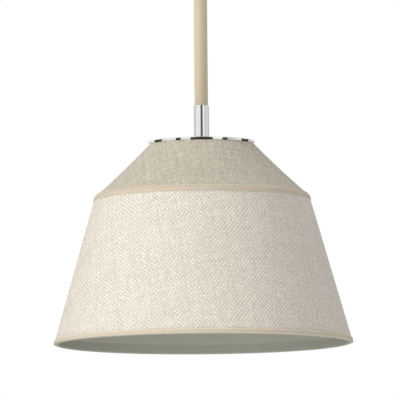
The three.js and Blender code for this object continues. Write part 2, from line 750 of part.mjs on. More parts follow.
function bulbHousing() {
  const steps = 4;
  const wall = 1.3;
  const floor = HOUSING_TOP - 3;
  const shares = Array.from({ length: steps + 1 }, (_, i) => i / steps);
  const outside = shares.map((s) => [housingRadius(s), THREE.MathUtils.lerp(HOUSING_TOP, HOUSING_BOTTOM, s)]);
  const inside = shares.map((s) => [
    housingRadius(s) - wall, THREE.MathUtils.lerp(floor, HOUSING_BOTTOM, s),
  ]);
  return turned([[0, HOUSING_TOP], ...outside, ...inside.reverse(), [0, floor]], MEDIUM);
}

function bulbGlobe() {
  const wall = 1;
  const steps = 7;
  const mouth = HOUSING_BOTTOM - GAP - GLOBE_CENTRE;
  const mouthAngle = (radius) => THREE.MathUtils.radToDeg(Math.asin(mouth / radius));
  const bowl = (radius) => arc(0, GLOBE_CENTRE, radius, mouthAngle(radius), -90, steps);
  return turned([...bowl(GLOBE_RADIUS - wall).reverse(), ...bowl(GLOBE_RADIUS)], MEDIUM);
}

function addBulb() {
  const boardRadius = 22;
  const boardBottom = HOUSING_BOTTOM + 5;
  const boardTop = boardBottom + 1.6;
  add("bulb_tip_contact", bulbTip(), solder);
  add("bulb_insulator", bulbInsulator(), phenolic);
  add("bulb_screw_shell", bulbScrewShell(), solder);
  add("bulb_housing", bulbHousing(), opalPlastic);
  add("bulb_led_board", rod(boardRadius, boardTop, boardBottom, MEDIUM), circuitBoard);
  add("bulb_globe", bulbGlobe(), opalPlastic);
}

// ---- Wiring ----

const SPLICE_X = 16;
const SPLICE_Y = -26; // where the leads enter the wire nuts
const SPLICE_Z = -13;

function stemLead(sign) {
  const x = sign * LEAD_OFFSET;
  return wire([
    [x, 0, PIVOT - 1], [x, 0, (PIVOT + SOCKET_TOP) / 2], [x, 0, SOCKET_TOP - 2], [x, 0, SOCKET_TOP - 9],
    [sign * 4, 0, SOCKET_TOP - 13], [sign * TERMINAL_X, 0, BASE_TOP + 4.3],
  ], 50);
}

function canopyLead(sign) {
  const x = sign * LEAD_OFFSET;
  return wire([
    [x, 0, PIVOT + 1], [x, 0, -30], [x, 0, -14], [sign * 3, -3, -9], [sign * 8, -10, -7.5],
    [sign * 14, -19, -9.5], [sign * SPLICE_X, SPLICE_Y, SPLICE_Z], [sign * SPLICE_X, SPLICE_Y - 5, SPLICE_Z],
  ], 22);
}

function wireNut(sign) {
  const length = 18;
  const depth = 9;
  const bore = 2.6;
  const [skirtRadius, skirt] = [5.6, 3];
  const [crown, shoulder, edge] = [3, 4, 1.5];
  const nut = turned([
    [0, length], [crown, length], [shoulder, length - edge], [skirtRadius, skirt], [skirtRadius, 0],
    [bore, 0], [bore, depth], [0, depth],
  ], TINY);
  return nut.rotateX(Math.PI / 2).translate(sign * SPLICE_X, SPLICE_Y, SPLICE_Z);
}

function groundLead() {
  return wire([
    [GROUND_SCREW_X + 5.5, 1, -4], [GROUND_SCREW_X + 4, 9, -6], [13, 14, -12], [11, 12, -19], [10.5, 6, -21],
  ], 12);
}

function addWiring() {
  const coats = { 1: blackLead, "-1": whiteLead };
  const names = { 1: "hot", "-1": "neutral" };
  for (const sign of [1, -1]) {
    add(`stem_lead_${names[sign]}`, stemLead(sign), coats[sign]);
    add(`canopy_lead_${names[sign]}`, canopyLead(sign), coats[sign]);
    add(`wire_nut_${names[sign]}`, wireNut(sign), orangeNylon);
  }
  add("ground_lead", groundLead(), greenCoat);
}

addCeilingFitting();
addSwivel();
addStem();
addShade();
addSocket();
addBulb();
addWiring();

export default lamp;
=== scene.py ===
# The looks of a pendant lamp's two-tier fabric shade, with its frame, socket, bulb, covered stem and
# ceiling fitting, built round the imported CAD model. Metres, +Z up, the shade's front faces -Y.

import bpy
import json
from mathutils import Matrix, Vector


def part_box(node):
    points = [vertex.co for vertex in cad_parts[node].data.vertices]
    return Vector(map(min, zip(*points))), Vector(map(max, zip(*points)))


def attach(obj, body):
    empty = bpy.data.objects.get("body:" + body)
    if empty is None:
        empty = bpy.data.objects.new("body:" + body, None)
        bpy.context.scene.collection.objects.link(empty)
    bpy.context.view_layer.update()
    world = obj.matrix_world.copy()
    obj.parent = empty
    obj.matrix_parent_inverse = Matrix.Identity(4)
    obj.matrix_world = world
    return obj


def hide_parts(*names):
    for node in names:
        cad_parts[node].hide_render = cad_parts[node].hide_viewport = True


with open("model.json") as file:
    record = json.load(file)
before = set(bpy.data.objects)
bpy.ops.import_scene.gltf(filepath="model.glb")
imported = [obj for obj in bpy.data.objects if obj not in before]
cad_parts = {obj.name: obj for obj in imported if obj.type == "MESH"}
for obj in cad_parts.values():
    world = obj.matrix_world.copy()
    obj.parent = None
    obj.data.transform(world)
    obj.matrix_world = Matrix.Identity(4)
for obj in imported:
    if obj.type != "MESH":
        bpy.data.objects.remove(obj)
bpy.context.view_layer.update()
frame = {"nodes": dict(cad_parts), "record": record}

import json
import math

import bmesh
import bpy
from mathutils import Matrix, Vector, noise

TAU = 2 * math.pi
MM = 0.001

# ---- Camera ----

CAMERA_AT = Vector((0.0, -10.0345, -1.39048))
CAMERA_PITCH = math.radians(5.3043)
CAMERA_YAW = math.radians(0.0186)
CAMERA_ROLL = math.radians(0.52)
SENSOR = 36.0
LENS = 596.8


def link(obj):
    bpy.context.scene.collection.objects.link(obj)
    return obj


def add_camera():
    """A long lens a little below the shade, so that the inside of its mouth shows."""
    data = bpy.data.cameras.new("camera")
    data.sensor_width = SENSOR
    data.lens = LENS
    camera = link(bpy.data.objects.new("camera", data))
    turns = ((CAMERA_YAW, "Z"), (math.pi / 2 + CAMERA_PITCH, "X"), (-CAMERA_ROLL, "Z"))
    camera.matrix_world = Matrix.Translation(CAMERA_AT)
    for angle, axis in turns:
        camera.matrix_world @= Matrix.Rotation(angle, 4, axis)
    bpy.context.scene.camera = camera


add_camera()

# ---- The shade's driving dimensions, as in the CAD ----

CROWN = Vector((79.9 * MM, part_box("upper_fabric")[1].z))
WAIST = Vector((163.0 * MM, -454.2 * MM))
RIM = Vector((226.5 * MM, -676.5 * MM))
CLOTH = 0.9 * MM
LINER_OUTSIDE = -1.15 * MM
LINER = 0.85 * MM
WIRE_RADIUS = 1.5 * MM
WIRE_OFFSET = -3.8 * MM  # from the cloth's outer face to the middle of a ring's wire
SETBACK = 0.4 * MM  # how far each panel stops short of the waist crease
LAP = 12 * MM  # overlap of each panel's glued seam, at the back
SEAM_RADIUS = 0.19  # between the waist's and the rim's, to turn a lap's width into an angle
TAPE = 0.8 * MM
TAPE_OFFSET = 0.55 * MM  # from the cloth's outer face to the middle of the tape
FOLD_RISE = 0.3 * MM  # how much thicker the tape lies along its folded edges
WAIST_TAPE_WIDTH = 11 * MM
RIM_TAPE_WIDTH = 5.5 * MM
BINDING = 0.6 * MM
UPPER_BOW = 1.2 * MM  # how far the upper tier's side is drawn in at its middle
GRAIN = math.radians(-7)  # how far the cloth's threads turn from the side's slope, at the front
CAP_SHEET = 1.2 * MM
CAP_NOTCH_TOP = 0.4 * MM  # from the cap's top down to its notches
VENT_QUARTER = [(0, 24), (26, 6), (55, 13), (90, 24)]  # degrees round from the front, degrees wide

# ---- Node trees ----


def arithmetic(operation, flipped=False):
    """An operator of Signal, done by a Math node."""
    def act(self, other):
        return self.graph.math(operation, *((other, self) if flipped else (self, other)))
    return act


class Signal:
    """A number in a node tree, used in ordinary arithmetic."""

    def __init__(self, graph, socket):
        self.graph, self.socket = graph, socket

    __add__ = __radd__ = arithmetic("ADD")
    __sub__, __rsub__ = arithmetic("SUBTRACT"), arithmetic("SUBTRACT", flipped=True)
    __mul__ = __rmul__ = arithmetic("MULTIPLY")
    __truediv__ = arithmetic("DIVIDE")
    __mod__ = arithmetic("FLOORED_MODULO")
    __gt__ = arithmetic("GREATER_THAN")


class Graph:
    """Short calls that fill a node tree."""

    def __init__(self, tree):
        self.tree = tree
        tree.nodes.clear()

    def put(self, kind, inputs=(), output=0, **settings):
        node = self.tree.nodes.new("ShaderNode" + kind)
        for name, value in settings.items():
            setattr(node, name, value)
        self.feed(node, dict(inputs))
        return node.outputs[output] if node.outputs else node

    def feed(self, node, inputs):
        for name, value in inputs.items():
            value = value.socket if isinstance(value, Signal) else value
            if isinstance(value, bpy.types.NodeSocket):
                self.tree.links.new(value, node.inputs[name])
            else:
                node.inputs[name].default_value = value

    def math(self, operation, *values):
        return Signal(self, self.put("Math", enumerate(values), operation=operation))

    def vector(self, x, y, z=0.0):
        return self.put("CombineXYZ", {"X": x, "Y": y, "Z": z})

    def parts(self, vector):
        node = self.put("SeparateXYZ", {"Vector": vector}).node
        return [Signal(self, output) for output in node.outputs]

    def place(self):
        """The object's own frame, in metres."""
        return self.put("TexCoord", output="Object")

    def flat(self):
        """The piece's own flat pattern, in metres."""
        return self.parts(self.put("UVMap", uv_map="flat"))[:2]

    def noise(self, vector, size, detail=2.0, roughness=0.5):
        inputs = {"Vector": vector, "Scale": 1 / size, "Detail": detail, "Roughness": roughness}
        return Signal(self, self.put("TexNoise", inputs))

    def chance(self, value):
        return Signal(self, self.put("TexWhiteNoise", {"W": value}, noise_dimensions="1D"))

    def spread(self, signal, low, high, to_low=0.0, to_high=1.0):
        inputs = {0: signal, 1: low, 2: high, 3: to_low, 4: to_high}
        return Signal(self, self.put("MapRange", inputs, interpolation_type="SMOOTHSTEP"))

    def mix(self, share, first, second):
        return self.put("Mix", {0: share, 6: first, 7: second}, output=2, data_type="RGBA")

    def shade(self, colour, level):
        """A colour made lighter or darker by a number."""
        colour = colour[:3] if isinstance(colour, tuple) else colour
        return self.put("VectorMath", {0: colour, "Scale": level}, operation="SCALE")

    def bump(self, height, depth):
        return self.put("Bump", {"Height": height, "Distance": depth, "Strength": 1.0})


def rgb(red, green, blue):
    return (red, green, blue, 1.0)


def surface(name, linked, **plain):
    """A Principled material: linked(graph) gives the inputs that vary over it, plain the ones that don't."""
    material = bpy.data.materials.new(name)
    material.use_nodes = True
    graph = Graph(material.node_tree)
    shader = graph.put("BsdfPrincipled")
    graph.feed(shader.node, {key.replace("_", " "): value for key, value in plain.items()})
    graph.feed(shader.node, linked(graph))
    graph.put("OutputMaterial", {"Surface": shader})
    return material


# ---- Cloth ----


def hump(graph, across, width):
    """A thread's round top over -0.5 to 0.5 of its cell, and nothing in the gap beside it."""
    return graph.math("SQRT", graph.math("MAXIMUM", 1.0 - (across * across) * (4 / width**2), 0.0))


def plain_weave(graph, pitch, row_pitch, wander, uneven, fill):
    """(height, lift, share of warp, tone) of a plain weave whose warp runs along the flat pattern's Y.

    The height is of the threads themselves. The lift is 1 where a warp thread crests and -1 where a weft
    thread does, because the warp is the tighter and stands proud.
    """
    u, v = graph.flat()
    spot = graph.vector(u, v)
    drift = graph.noise(spot, 9 * pitch) - 0.5
    shift = graph.noise(graph.vector(v, u, 7.0), 9 * pitch) - 0.5
    column, row = u / pitch + drift * wander, v / row_pitch + shift * wander
    i, j = graph.math("FLOOR", column), graph.math("FLOOR", row)
    across, along = column - i - 0.5, row - j - 0.5
    over = 1.0 - 2.0 * ((i + j) % 2.0)
    thick_warp = graph.noise(graph.vector(i * 7.31, v / (14 * pitch)), 1.0) - 0.5
    thick_weft = graph.noise(graph.vector(u / (14 * pitch), j * 7.31, 3.0), 1.0) - 0.5
    warp = hump(graph, across, fill) * (0.6 + 0.4 * over * graph.math("COSINE", along * math.pi))
    weft = hump(graph, along, fill) * (0.6 - 0.4 * over * graph.math("COSINE", across * math.pi))
    warp, weft = warp + thick_warp * (0.5 * uneven), weft + thick_weft * (0.5 * uneven)
    is_warp = warp > weft
    own_tone = graph.chance(i + 0.37) * is_warp + graph.chance(j + 91.73) * (1.0 - is_warp)
    crossing_tone = graph.chance(i * 12.9898 + j * 78.233)
    twist = graph.math("SINE", (column * is_warp + row * (1.0 - is_warp)) * (TAU * 2)
                       + (row * is_warp + column * (1.0 - is_warp)) * (TAU * 1.5))
    height = graph.math("MAXIMUM", warp, weft) + twist * 0.05
    slub = thick_warp * is_warp + thick_weft * (1.0 - is_warp)
    lift = over * graph.math("COSINE", across * math.pi) * graph.math("COSINE", along * math.pi)
    return height, lift, is_warp, ((own_tone - 0.5) * 0.45 + (crossing_tone - 0.5) * 0.8 + slub) * uneven


def cloth_surface(name, pitch, row_pitch, warp_colour, weft_colour, gap_shade_colour, relief, contrast,
                  wander=2.2, uneven=1.0, proud=0.0, streak=0.0, sheen=0.12):
    """A plain weave of uneven threads, painted shade in the gaps between them, with a little fuzz."""
    def linked(graph):
        height, lift, is_warp, tone = plain_weave(graph, pitch, row_pitch, wander, uneven, fill=0.98)
        u, v = graph.flat()
        streaks = graph.noise(graph.vector(u / (1.6 * pitch), v / (40 * pitch)), 1.0, 3.0) - 0.5
        fuzz = graph.noise(graph.place(), 0.25 * MM, 1.0) - 0.5
        # Warp and weft colours differ: two-tone threads, and partly painted shade standing in for how light
        # falls differently on the crossing threads.
        thread = graph.mix(is_warp, weft_colour, warp_colour)
        thread = graph.shade(thread, 1.0 + tone * contrast + streaks * streak + fuzz * 0.12)
        # Where the threads sink, the colour turns to the gap colour: painted shade between the threads.
        depth = graph.spread(height, 0.1, 0.75)
        return {
            "Base Color": graph.mix(depth, gap_shade_colour, thread),
            "Normal": graph.bump(height * (1 - proud) + lift * (proud / 2) + fuzz * 0.25, relief),
        }
    return surface(name, linked, Roughness=0.92, Sheen_Weight=sheen, Sheen_Roughness=0.5,
                   Specular_IOR_Level=0.25)


def tape_surface(name, colour, dark):
    """Cotton cut on the bias: fine diagonal ribs, a little uneven, painted shade in the grooves between them,
    and a painted highlight along its folded upper edge.
    """
    rib = 0.75 * MM

    def linked(graph):
        u, v = graph.flat()
        uneven = graph.noise(graph.vector(u, v), 6 * MM, 3.0) - 0.5
        # Painted highlight: the tape is lighter along its folded upper edge.
        fold_highlight = graph.spread(v, 0.8 * MM, 1.6 * MM, 1.0, 0.0)
        ribs = 0.5 + 0.5 * graph.math("COSINE", (u + v) * (TAU / rib) + uneven * 2.5)
        cross = 0.5 + 0.5 * graph.math("COSINE", (u - v) * (TAU / (rib * 0.6)))
        height = ribs * 0.8 + cross * 0.2
        tone = graph.shade(colour, 1.0 + uneven * 0.22 + fold_highlight * 0.14)
        return {
            # The dark colour fills the low parts between the ribs: painted shade.
            "Base Color": graph.mix(graph.spread(height + fold_highlight, 0.0, 0.8), dark, tone),
            "Normal": graph.bump(height, 0.12 * MM),
        }
    return surface(name, linked, Roughness=0.85, Sheen_Weight=0.1, Sheen_Roughness=0.5,
                   Specular_IOR_Level=0.3)


def leather_surface(name, colour, dark):
    """Smooth satin leather: fine pebbled grain, faint lengthwise streaks from being stretched on."""
    def linked(graph):
        u, v = graph.flat()
        cells = graph.put("TexVoronoi", {"Vector": graph.place(), "Scale": 1 / (0.55 * MM)},
                          feature="DISTANCE_TO_EDGE")
        grain = graph.spread(Signal(graph, cells), 0.0, 0.25)
        streaks = graph.noise(graph.vector(u / (1.2 * MM), v / (45 * MM)), 1.0, 3.0) - 0.5
        patch = graph.noise(graph.place(), 14 * MM, 3.0) - 0.5
        tone = graph.shade(colour, 1.0 + streaks * 0.16 + patch * 0.1)
        return {
            "Base Color": graph.mix(grain * 0.35 + 0.65, dark, tone),
            "Roughness": 0.36 + patch * 0.2 + streaks * 0.15,
            "Normal": graph.bump(grain, 0.03 * MM),
        }
    return surface(name, linked, Specular_IOR_Level=0.5, Coat_Weight=0.15, Coat_Roughness=0.3)


def liner_surface(name, colour):
    """Matt styrene: even, with faint streaks down the sheet and a fine tooth."""
    def linked(graph):
        u, v = graph.flat()
        streaks = graph.noise(graph.vector(u / (5 * MM), v / (120 * MM)), 1.0, 4.0) - 0.5
        patch = graph.noise(graph.place(), 70 * MM, 2.0) - 0.5
        tooth = graph.noise(graph.place(), 0.5 * MM, 2.0)
        return {
            "Base Color": graph.shade(colour, 1.0 + streaks * 0.12 + patch * 0.1 + (tooth - 0.5) * 0.08),
            "Roughness": 0.62 + streaks * 0.15,
            "Normal": graph.bump(tooth, 0.04 * MM),
        }
    return surface(name, linked, Specular_IOR_Level=0.35)


# ---- Metal, paint and plastic ----


def metal_surface(name, colour, tarnish, roughness, brush, depth, painted_shade_hollow=None):
    """Metal with faint marks of spinning or drawing round its axis, and a little dulling in patches.

    brush and depth are the marks' width and depth in millimetres. The last argument is (radius, top, bottom)
    of a hollow whose walls are painted near black and matt: painted shade.
    """
    def linked(graph):
        x, y, z = graph.parts(graph.place())
        radius = graph.math("SQRT", x * x + y * y)
        turned = graph.noise(graph.vector(radius, z), brush * MM, 2.0) - 0.5
        dull = graph.spread(graph.noise(graph.place(), 9 * MM, 4.0, 0.6), 0.45, 0.8)
        tone = graph.mix(dull * 0.5, colour, tarnish)
        gloss = roughness + dull * (roughness * 0.35) + turned * (roughness * 0.6)
        if painted_shade_hollow:
            limit, top, bottom = painted_shade_hollow
            # Painted shade: inside the hollow the metal turns near black and matt.
            hollow = (graph.math("LESS_THAN", radius, limit) * graph.math("LESS_THAN", z, top)
                      * (z > bottom))
            tone, gloss = graph.mix(hollow, tone, rgb(0.05, 0.045, 0.04)), gloss + hollow * 0.4
        return {"Base Color": tone, "Roughness": gloss, "Normal": graph.bump(turned, depth * MM)}
    return surface(name, linked, Metallic=1.0)


def coat_surface(name, colour, worn, roughness, grain, depth, specular=0.5):
    """Paint, plastic or rubber, a little uneven. grain and depth are its skin's, in millimetres."""
    def linked(graph):
        skin = graph.noise(graph.place(), grain * MM, 3.0)
        patch = graph.noise(graph.place(), 11 * MM, 3.0) - 0.5
        return {
            "Base Color": graph.mix(graph.spread(patch, -0.2, 0.35) * 0.6, colour, worn),
            "Roughness": roughness + patch * 0.15,
            "Normal": graph.bump(skin, depth * MM),
        }
    return surface(name, linked, Specular_IOR_Level=specular)


def opal_surface(name, colour, worn):
    """Opal plastic that light soaks into."""
    def linked(graph):
        mist = graph.noise(graph.place(), 8 * MM, 3.0)
        return {"Base Color": graph.mix(mist * 0.5, colour, worn), "Roughness": 0.22 + mist * 0.12}
    return surface(name, linked, Subsurface_Weight=0.35, Subsurface_Scale=3 * MM, Specular_IOR_Level=0.5)


def extent(node):
    """(radius, top, bottom) of a CAD node that stands round the Z axis."""
    low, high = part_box(node)
    return high.x, high.z, low.z


CAP_RADIUS, CAP_TOP, CAP_BOTTOM = extent("vent_cap")
# The inside of the vent cap, painted near black as the shade seen through its notches.
CAP_SHADE_HOLLOW = (CAP_RADIUS - 0.8 * CAP_SHEET, CAP_TOP - 0.8 * CAP_SHEET, CAP_BOTTOM - MM)

# Slot: name, colour, tarnished colour, roughness, the width and depth of its marks in millimetres, and
# for the cap's metal the hollow under it, painted near black as shade.
METALS = {
    "polished_nickel": ("nickel", rgb(0.83, 0.83, 0.82), rgb(0.75, 0.745, 0.73), 0.09, 0.35, 0.002,
                        CAP_SHADE_HOLLOW),
    "zinc_steel": ("zinc", rgb(0.66, 0.66, 0.64), rgb(0.42, 0.42, 0.40), 0.34, 0.3, 0.01),
    "brass": ("brass", rgb(0.80, 0.62, 0.33), rgb(0.50, 0.36, 0.18), 0.24, 0.3, 0.005),
    "tinned_metal": ("tin", rgb(0.74, 0.74, 0.74), rgb(0.52, 0.52, 0.50), 0.27, 0.4, 0.006),
}

# Slot: name, colour, worn colour, roughness, the size and depth of its skin's grain in millimetres, and
# its specular level where that isn't the usual one.
COATS = {
    "white_enamel": ("enamel", rgb(0.74, 0.72, 0.68), rgb(0.60, 0.57, 0.50), 0.32, 1.2, 0.02),
    "green_screw": ("green_screw", rgb(0.03, 0.16, 0.06), rgb(0.10, 0.20, 0.10), 0.3, 0.4, 0.01),
    "fibreboard": ("fibreboard", rgb(0.30, 0.22, 0.13), rgb(0.20, 0.14, 0.08), 0.85, 0.5, 0.08, 0.2),
    "phenolic": ("phenolic", rgb(0.015, 0.013, 0.012), rgb(0.03, 0.026, 0.022), 0.3, 0.6, 0.01),
    "bulb_plastic": ("bulb_plastic", rgb(0.80, 0.79, 0.76), rgb(0.72, 0.70, 0.66), 0.38, 0.4, 0.015),
    "circuit_board": ("board", rgb(0.78, 0.80, 0.76), rgb(0.66, 0.68, 0.62), 0.4, 0.8, 0.01),
    "black_lead": ("black_lead", rgb(0.02, 0.02, 0.02), rgb(0.04, 0.04, 0.04), 0.42, 0.7, 0.02),
    "white_lead": ("white_lead", rgb(0.74, 0.73, 0.69), rgb(0.62, 0.60, 0.55), 0.42, 0.7, 0.02),
    "green_lead": ("green_lead", rgb(0.03, 0.15, 0.05), rgb(0.05, 0.19, 0.07), 0.42, 0.7, 0.02),
    "orange_nylon": ("nylon", rgb(0.72, 0.20, 0.03), rgb(0.62, 0.17, 0.03), 0.35, 0.5, 0.02),
}

LINER_GREY = rgb(0.45, 0.445, 0.385)

LOOKS = {
    **{slot: metal_surface(*look) for slot, look in METALS.items()},
    **{slot: coat_surface(*look) for slot, look in COATS.items()},
    "opal_globe": opal_surface("opal", rgb(0.88, 0.87, 0.84), rgb(0.80, 0.79, 0.75)),
    # The third colour of each cloth is painted shade in the gaps between its threads.
    "oatmeal_weave": cloth_surface(
        # Its warp is lighter than its weft: two-tone threads, and partly painted shade.
        "oatmeal", 3.1 * MM, 3.5 * MM, rgb(0.88, 0.835, 0.76), rgb(0.68, 0.63, 0.54), rgb(0.37, 0.32, 0.26),
        1.0 * MM, contrast=0.3, wander=1.1, uneven=0.65, proud=0.5, streak=0.08),
    "taupe_linen": cloth_surface(
        "taupe", 1.5 * MM, 1.5 * MM, rgb(0.60, 0.555, 0.455), rgb(0.54, 0.49, 0.40), rgb(0.28, 0.24, 0.185),
        0.25 * MM, contrast=0.55, streak=0.15, sheen=0.25),
    # Each tape's second colour is painted shade in the grooves between its ribs.
    "tan_tape": tape_surface("tape", rgb(0.71, 0.625, 0.50), rgb(0.50, 0.42, 0.32)),
    "grey_binding": tape_surface("binding", LINER_GREY, rgb(0.33, 0.325, 0.28)),
    "tan_sleeve": leather_surface("leather", rgb(0.62, 0.53, 0.38), rgb(0.44, 0.36, 0.24)),
    "grey_liner": liner_surface("styrene", LINER_GREY),
}

# ---- Pieces and their place in the frame ----

SLOT_OF = {part["node"]: part["material_slot"] for part in frame["record"]["subparts"]}
BODY_OF = {node: body for body, nodes in frame["record"]["behaviour"]["bodies"].items() for node in nodes}


def show(obj, *nodes):
    """obj stands for these CAD nodes, on their body, with their slot's material."""
    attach(obj, BODY_OF[nodes[0]])
    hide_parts(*nodes)
    obj.data.materials.clear()
    obj.data.materials.append(LOOKS[SLOT_OF[nodes[0]]])
    return obj


def standing(node):
    """(x, radius, top, bottom) of a CAD node that stands upright beside the Z axis."""
    low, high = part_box(node)
    return (low.x + high.x) / 2, (high.x - low.x) / 2, high.z, low.z


# ---- Outlines in the plane of (radius, height) ----


def rounded(outline, steps=5, closed=True):
    """The outline with each corner that has a third value rounded to that radius."""
    points = []
    for i, corner in enumerate(outline):
        here = Vector(corner[:2])
        ends = not closed and i in (0, len(outline) - 1)
        if len(corner) < 3 or ends:
            points.append(here)
            continue
        back = Vector(outline[i - 1][:2]) - here
        ahead = Vector(outline[(i + 1) % len(outline)][:2]) - here
        half = back.angle(ahead) / 2
        reach = min(corner[2] / math.tan(half), 0.48 * back.length, 0.48 * ahead.length)
        radius = reach * math.tan(half)
        turn = math.pi - 2 * half
        bisector = (back.normalized() + ahead.normalized()).normalized()
        centre = here + bisector * (radius / math.sin(half))
        start, end = here + back.normalized() * reach - centre, here + ahead.normalized() * reach - centre
        for k in range(steps + 1):
            share = k / steps
            swing = start * math.sin((1 - share) * turn) + end * math.sin(share * turn)
            points.append(centre + swing / math.sin(turn))
    return points


def ladder(radius, start, end, step):
    """Points straight down (or up) a wall, close enough together to carry a thread."""
    count = max(1, round(abs(end - start) / step))
    return [(radius, start + (end - start) * k / count) for k in range(count + 1)]


def disc(radius, top, bottom, fillet):
    """The outline of a solid disc with rounded edges."""
    return [(0, top), (radius, top, fillet), (radius, bottom, fillet), (0, bottom)]


def band(path, thickness, steps=4):
    """The closed outline of a folded strip: a path thickened to both sides, with round edges."""
    normals = []
    for i in range(len(path)):
        along = (path[min(i + 1, len(path) - 1)] - path[max(i - 1, 0)]).normalized()
        normals.append(Vector((-along.y, along.x)))
    half = thickness / 2
    outline = [p + n * half for p, n in zip(path, normals)]
    outline += round_end(path[-1], normals[-1], half, steps)
    outline += [p - n * half for p, n in reversed(list(zip(path, normals)))]
    outline += round_end(path[0], -normals[0], half, steps)
    return outline


def round_end(centre, start, radius, steps):
    """The points of a half turn clockwise from start, without its two ends."""
    turns = [Matrix.Rotation(-math.pi * k / (steps + 1), 2) for k in range(1, steps + 1)]
    return [centre + turn @ (start * radius) for turn in turns]


# ---- Solids of revolution ----


def mesh_object(name, points, faces, flat_places=None):
    """A mesh with smooth faces. flat_places gives each face's corners their place on the flat pattern."""
    mesh = bpy.data.meshes.new(name)
    mesh.from_pydata(points, [], faces)
    if flat_places:
        layer = mesh.uv_layers.new(name="flat")
        for loop, place in zip(layer.uv, (place for face in flat_places for place in face)):
            loop.vector = place
    mesh.shade_smooth()
    return link(bpy.data.objects.new(name, mesh))


def facing_out(obj, sharp=40):
    """The object with its faces turned outward, and edges sharper than an angle left crisp."""
    work = bmesh.new()
    work.from_mesh(obj.data)
    bmesh.ops.recalc_face_normals(work, faces=work.faces)
    work.to_mesh(obj.data)
    work.free()
    obj.data.shade_smooth()
    obj.data.set_sharp_from_angle(angle=math.radians(sharp))
    return obj


def lathe(name, outline, segments=96, shape=None, closed=True, steps=5):
    """A solid of revolution about Z. shape(radius, height, angle) gives a point's true radius."""
    profile = rounded(outline, steps, closed)
    girth = max(point[0] for point in profile)
    points, rings, runs = [], [], [0.0]
    for before, here in zip(profile, profile[1:] + profile[:1]):
        runs.append(runs[-1] + (Vector(here) - Vector(before)).length)
    for radius, height in profile:
        if radius < 1e-7:
            rings.append([len(points)] * (segments + 1))
            points.append((0.0, 0.0, height))
            continue
        first = len(points)
        for k in range(segments):
            angle = TAU * k / segments
            r = shape(radius, height, angle) if shape else radius
            points.append((r * math.sin(angle), -r * math.cos(angle), height))
        rings.append([first + k for k in range(segments)] + [first])
    faces, places = [], []
    pairs = list(zip(range(len(rings)), rings, rings[1:] + rings[:1]))
    for i, ring, following in pairs if closed else pairs[:-1]:
        if ring[0] == ring[1] and following[0] == following[1]:
            continue
        for k in range(segments):
            corners = [(ring[k], k, i), (ring[k + 1], k + 1, i),
                       (following[k + 1], k + 1, i + 1), (following[k], k, i + 1)]
            kept = {corner[0]: corner for corner in reversed(corners)}
            corners = [corner for corner in corners if kept[corner[0]] == corner]
            faces.append([index for index, _, _ in corners])
            places.append([(girth * TAU * (column / segments - 0.5), runs[row])
                           for _, column, row in corners])
    return facing_out(mesh_object(name, points, faces, places))


def threaded(outer, pitch, depth):
    """A right-hand thread cut into the wall of the given radius."""
    def shape(radius, height, angle):
        if abs(radius - outer) > 1e-6:
            return radius
        phase = (height / pitch - angle / TAU) % 1
        return radius - depth * abs(2 * phase - 1)
    return shape


def hexagonal(corner_radius):
    """Six flats, wherever the turned outline is wider than they are."""
    flat = corner_radius * math.cos(TAU / 12)

    def shape(radius, height, angle):
        return min(radius, flat / math.cos(angle % (TAU / 6) - TAU / 12))
    return shape


def fluted(count, depth, inside, top, bottom):
    """Grooves down the outer wall between two heights."""
    def shape(radius, height, angle):
        if radius < inside or not bottom <= height <= top:
            return radius
        return radius - depth * (0.5 - 0.5 * math.cos(count * angle))
    return shape


def moved(obj, matrix):
    obj.data.transform(matrix)
    return obj


def at(x, y, z):
    return Matrix.Translation((x, y, z))


# ---- Booleans, bevels and bars ----


def with_modifier(obj, kind, **settings):
    """The object with a modifier applied."""
    modifier = obj.modifiers.new(kind.lower(), kind)
    for name, value in settings.items():
        setattr(modifier, name, value)
    result = bpy.data.meshes.new_from_object(obj.evaluated_get(bpy.context.evaluated_depsgraph_get()))
    obj.modifiers.clear()
    obj.data = result
    return obj


def combined(obj, operation, *tools):
    for tool in tools:
        with_modifier(obj, "BOOLEAN", operation=operation, solver="EXACT", object=tool)
        bpy.data.objects.remove(tool)
    return obj


def softened(obj, width, sharp=35):
    with_modifier(obj, "BEVEL", width=width, segments=2, limit_method="ANGLE",
                  angle_limit=math.radians(sharp), harden_normals=False)
    return facing_out(obj, sharp)


def rod(name, radius, top, bottom, segments=48):
    return lathe(name, [(0, top), (radius, top), (radius, bottom), (0, bottom)], segments)


def block(name, size_x, size_y, size_z):
    corners = [(x * size_x / 2, y * size_y / 2, z * size_z / 2)
               for x in (-1, 1) for y in (-1, 1) for z in (-1, 1)]
    faces = [(0, 1, 3, 2), (4, 6, 7, 5), (0, 4, 5, 1), (2, 3, 7, 6), (0, 2, 6, 4), (1, 5, 7, 3)]
    return facing_out(mesh_object(name, corners, faces))


def prism(name, outline, depth):
    """A flat outline in X and Y, given a depth up from Z = 0."""
    count = len(outline)
    points = [(x, y, z) for z in (0, depth) for x, y in outline]
    sides = [(k, (k + 1) % count, count + (k + 1) % count, count + k) for k in range(count)]
    faces = [tuple(range(count)), tuple(range(count, 2 * count)), *sides]
    return facing_out(mesh_object(name, points, faces))


# ---- Ceiling fitting ----

CANOPY_RADIUS, CANOPY_TOP, CANOPY_BOTTOM = extent("canopy")
CANOPY_WALL = 1.2 * MM
CANOPY_CORNER = 9 * MM
NIPPLE_HOLE = 5.35 * MM
NIPPLE_BORE = 3.6 * MM
PIPE_PITCH = 0.94 * MM
STUD_PITCH = 0.79 * MM
NUT_CORNER = 8.1 * MM


def stadium(x_from, x_to, radius, steps=16):
    """The outline of a slot along X with round ends; a circle where x_from is x_to."""
    turns = [math.pi * k / steps for k in range(steps + 1)]
    return [(end + way * radius * math.sin(a), -way * radius * math.cos(a))
            for end, way in ((x_to, 1), (x_from, -1)) for a in turns]


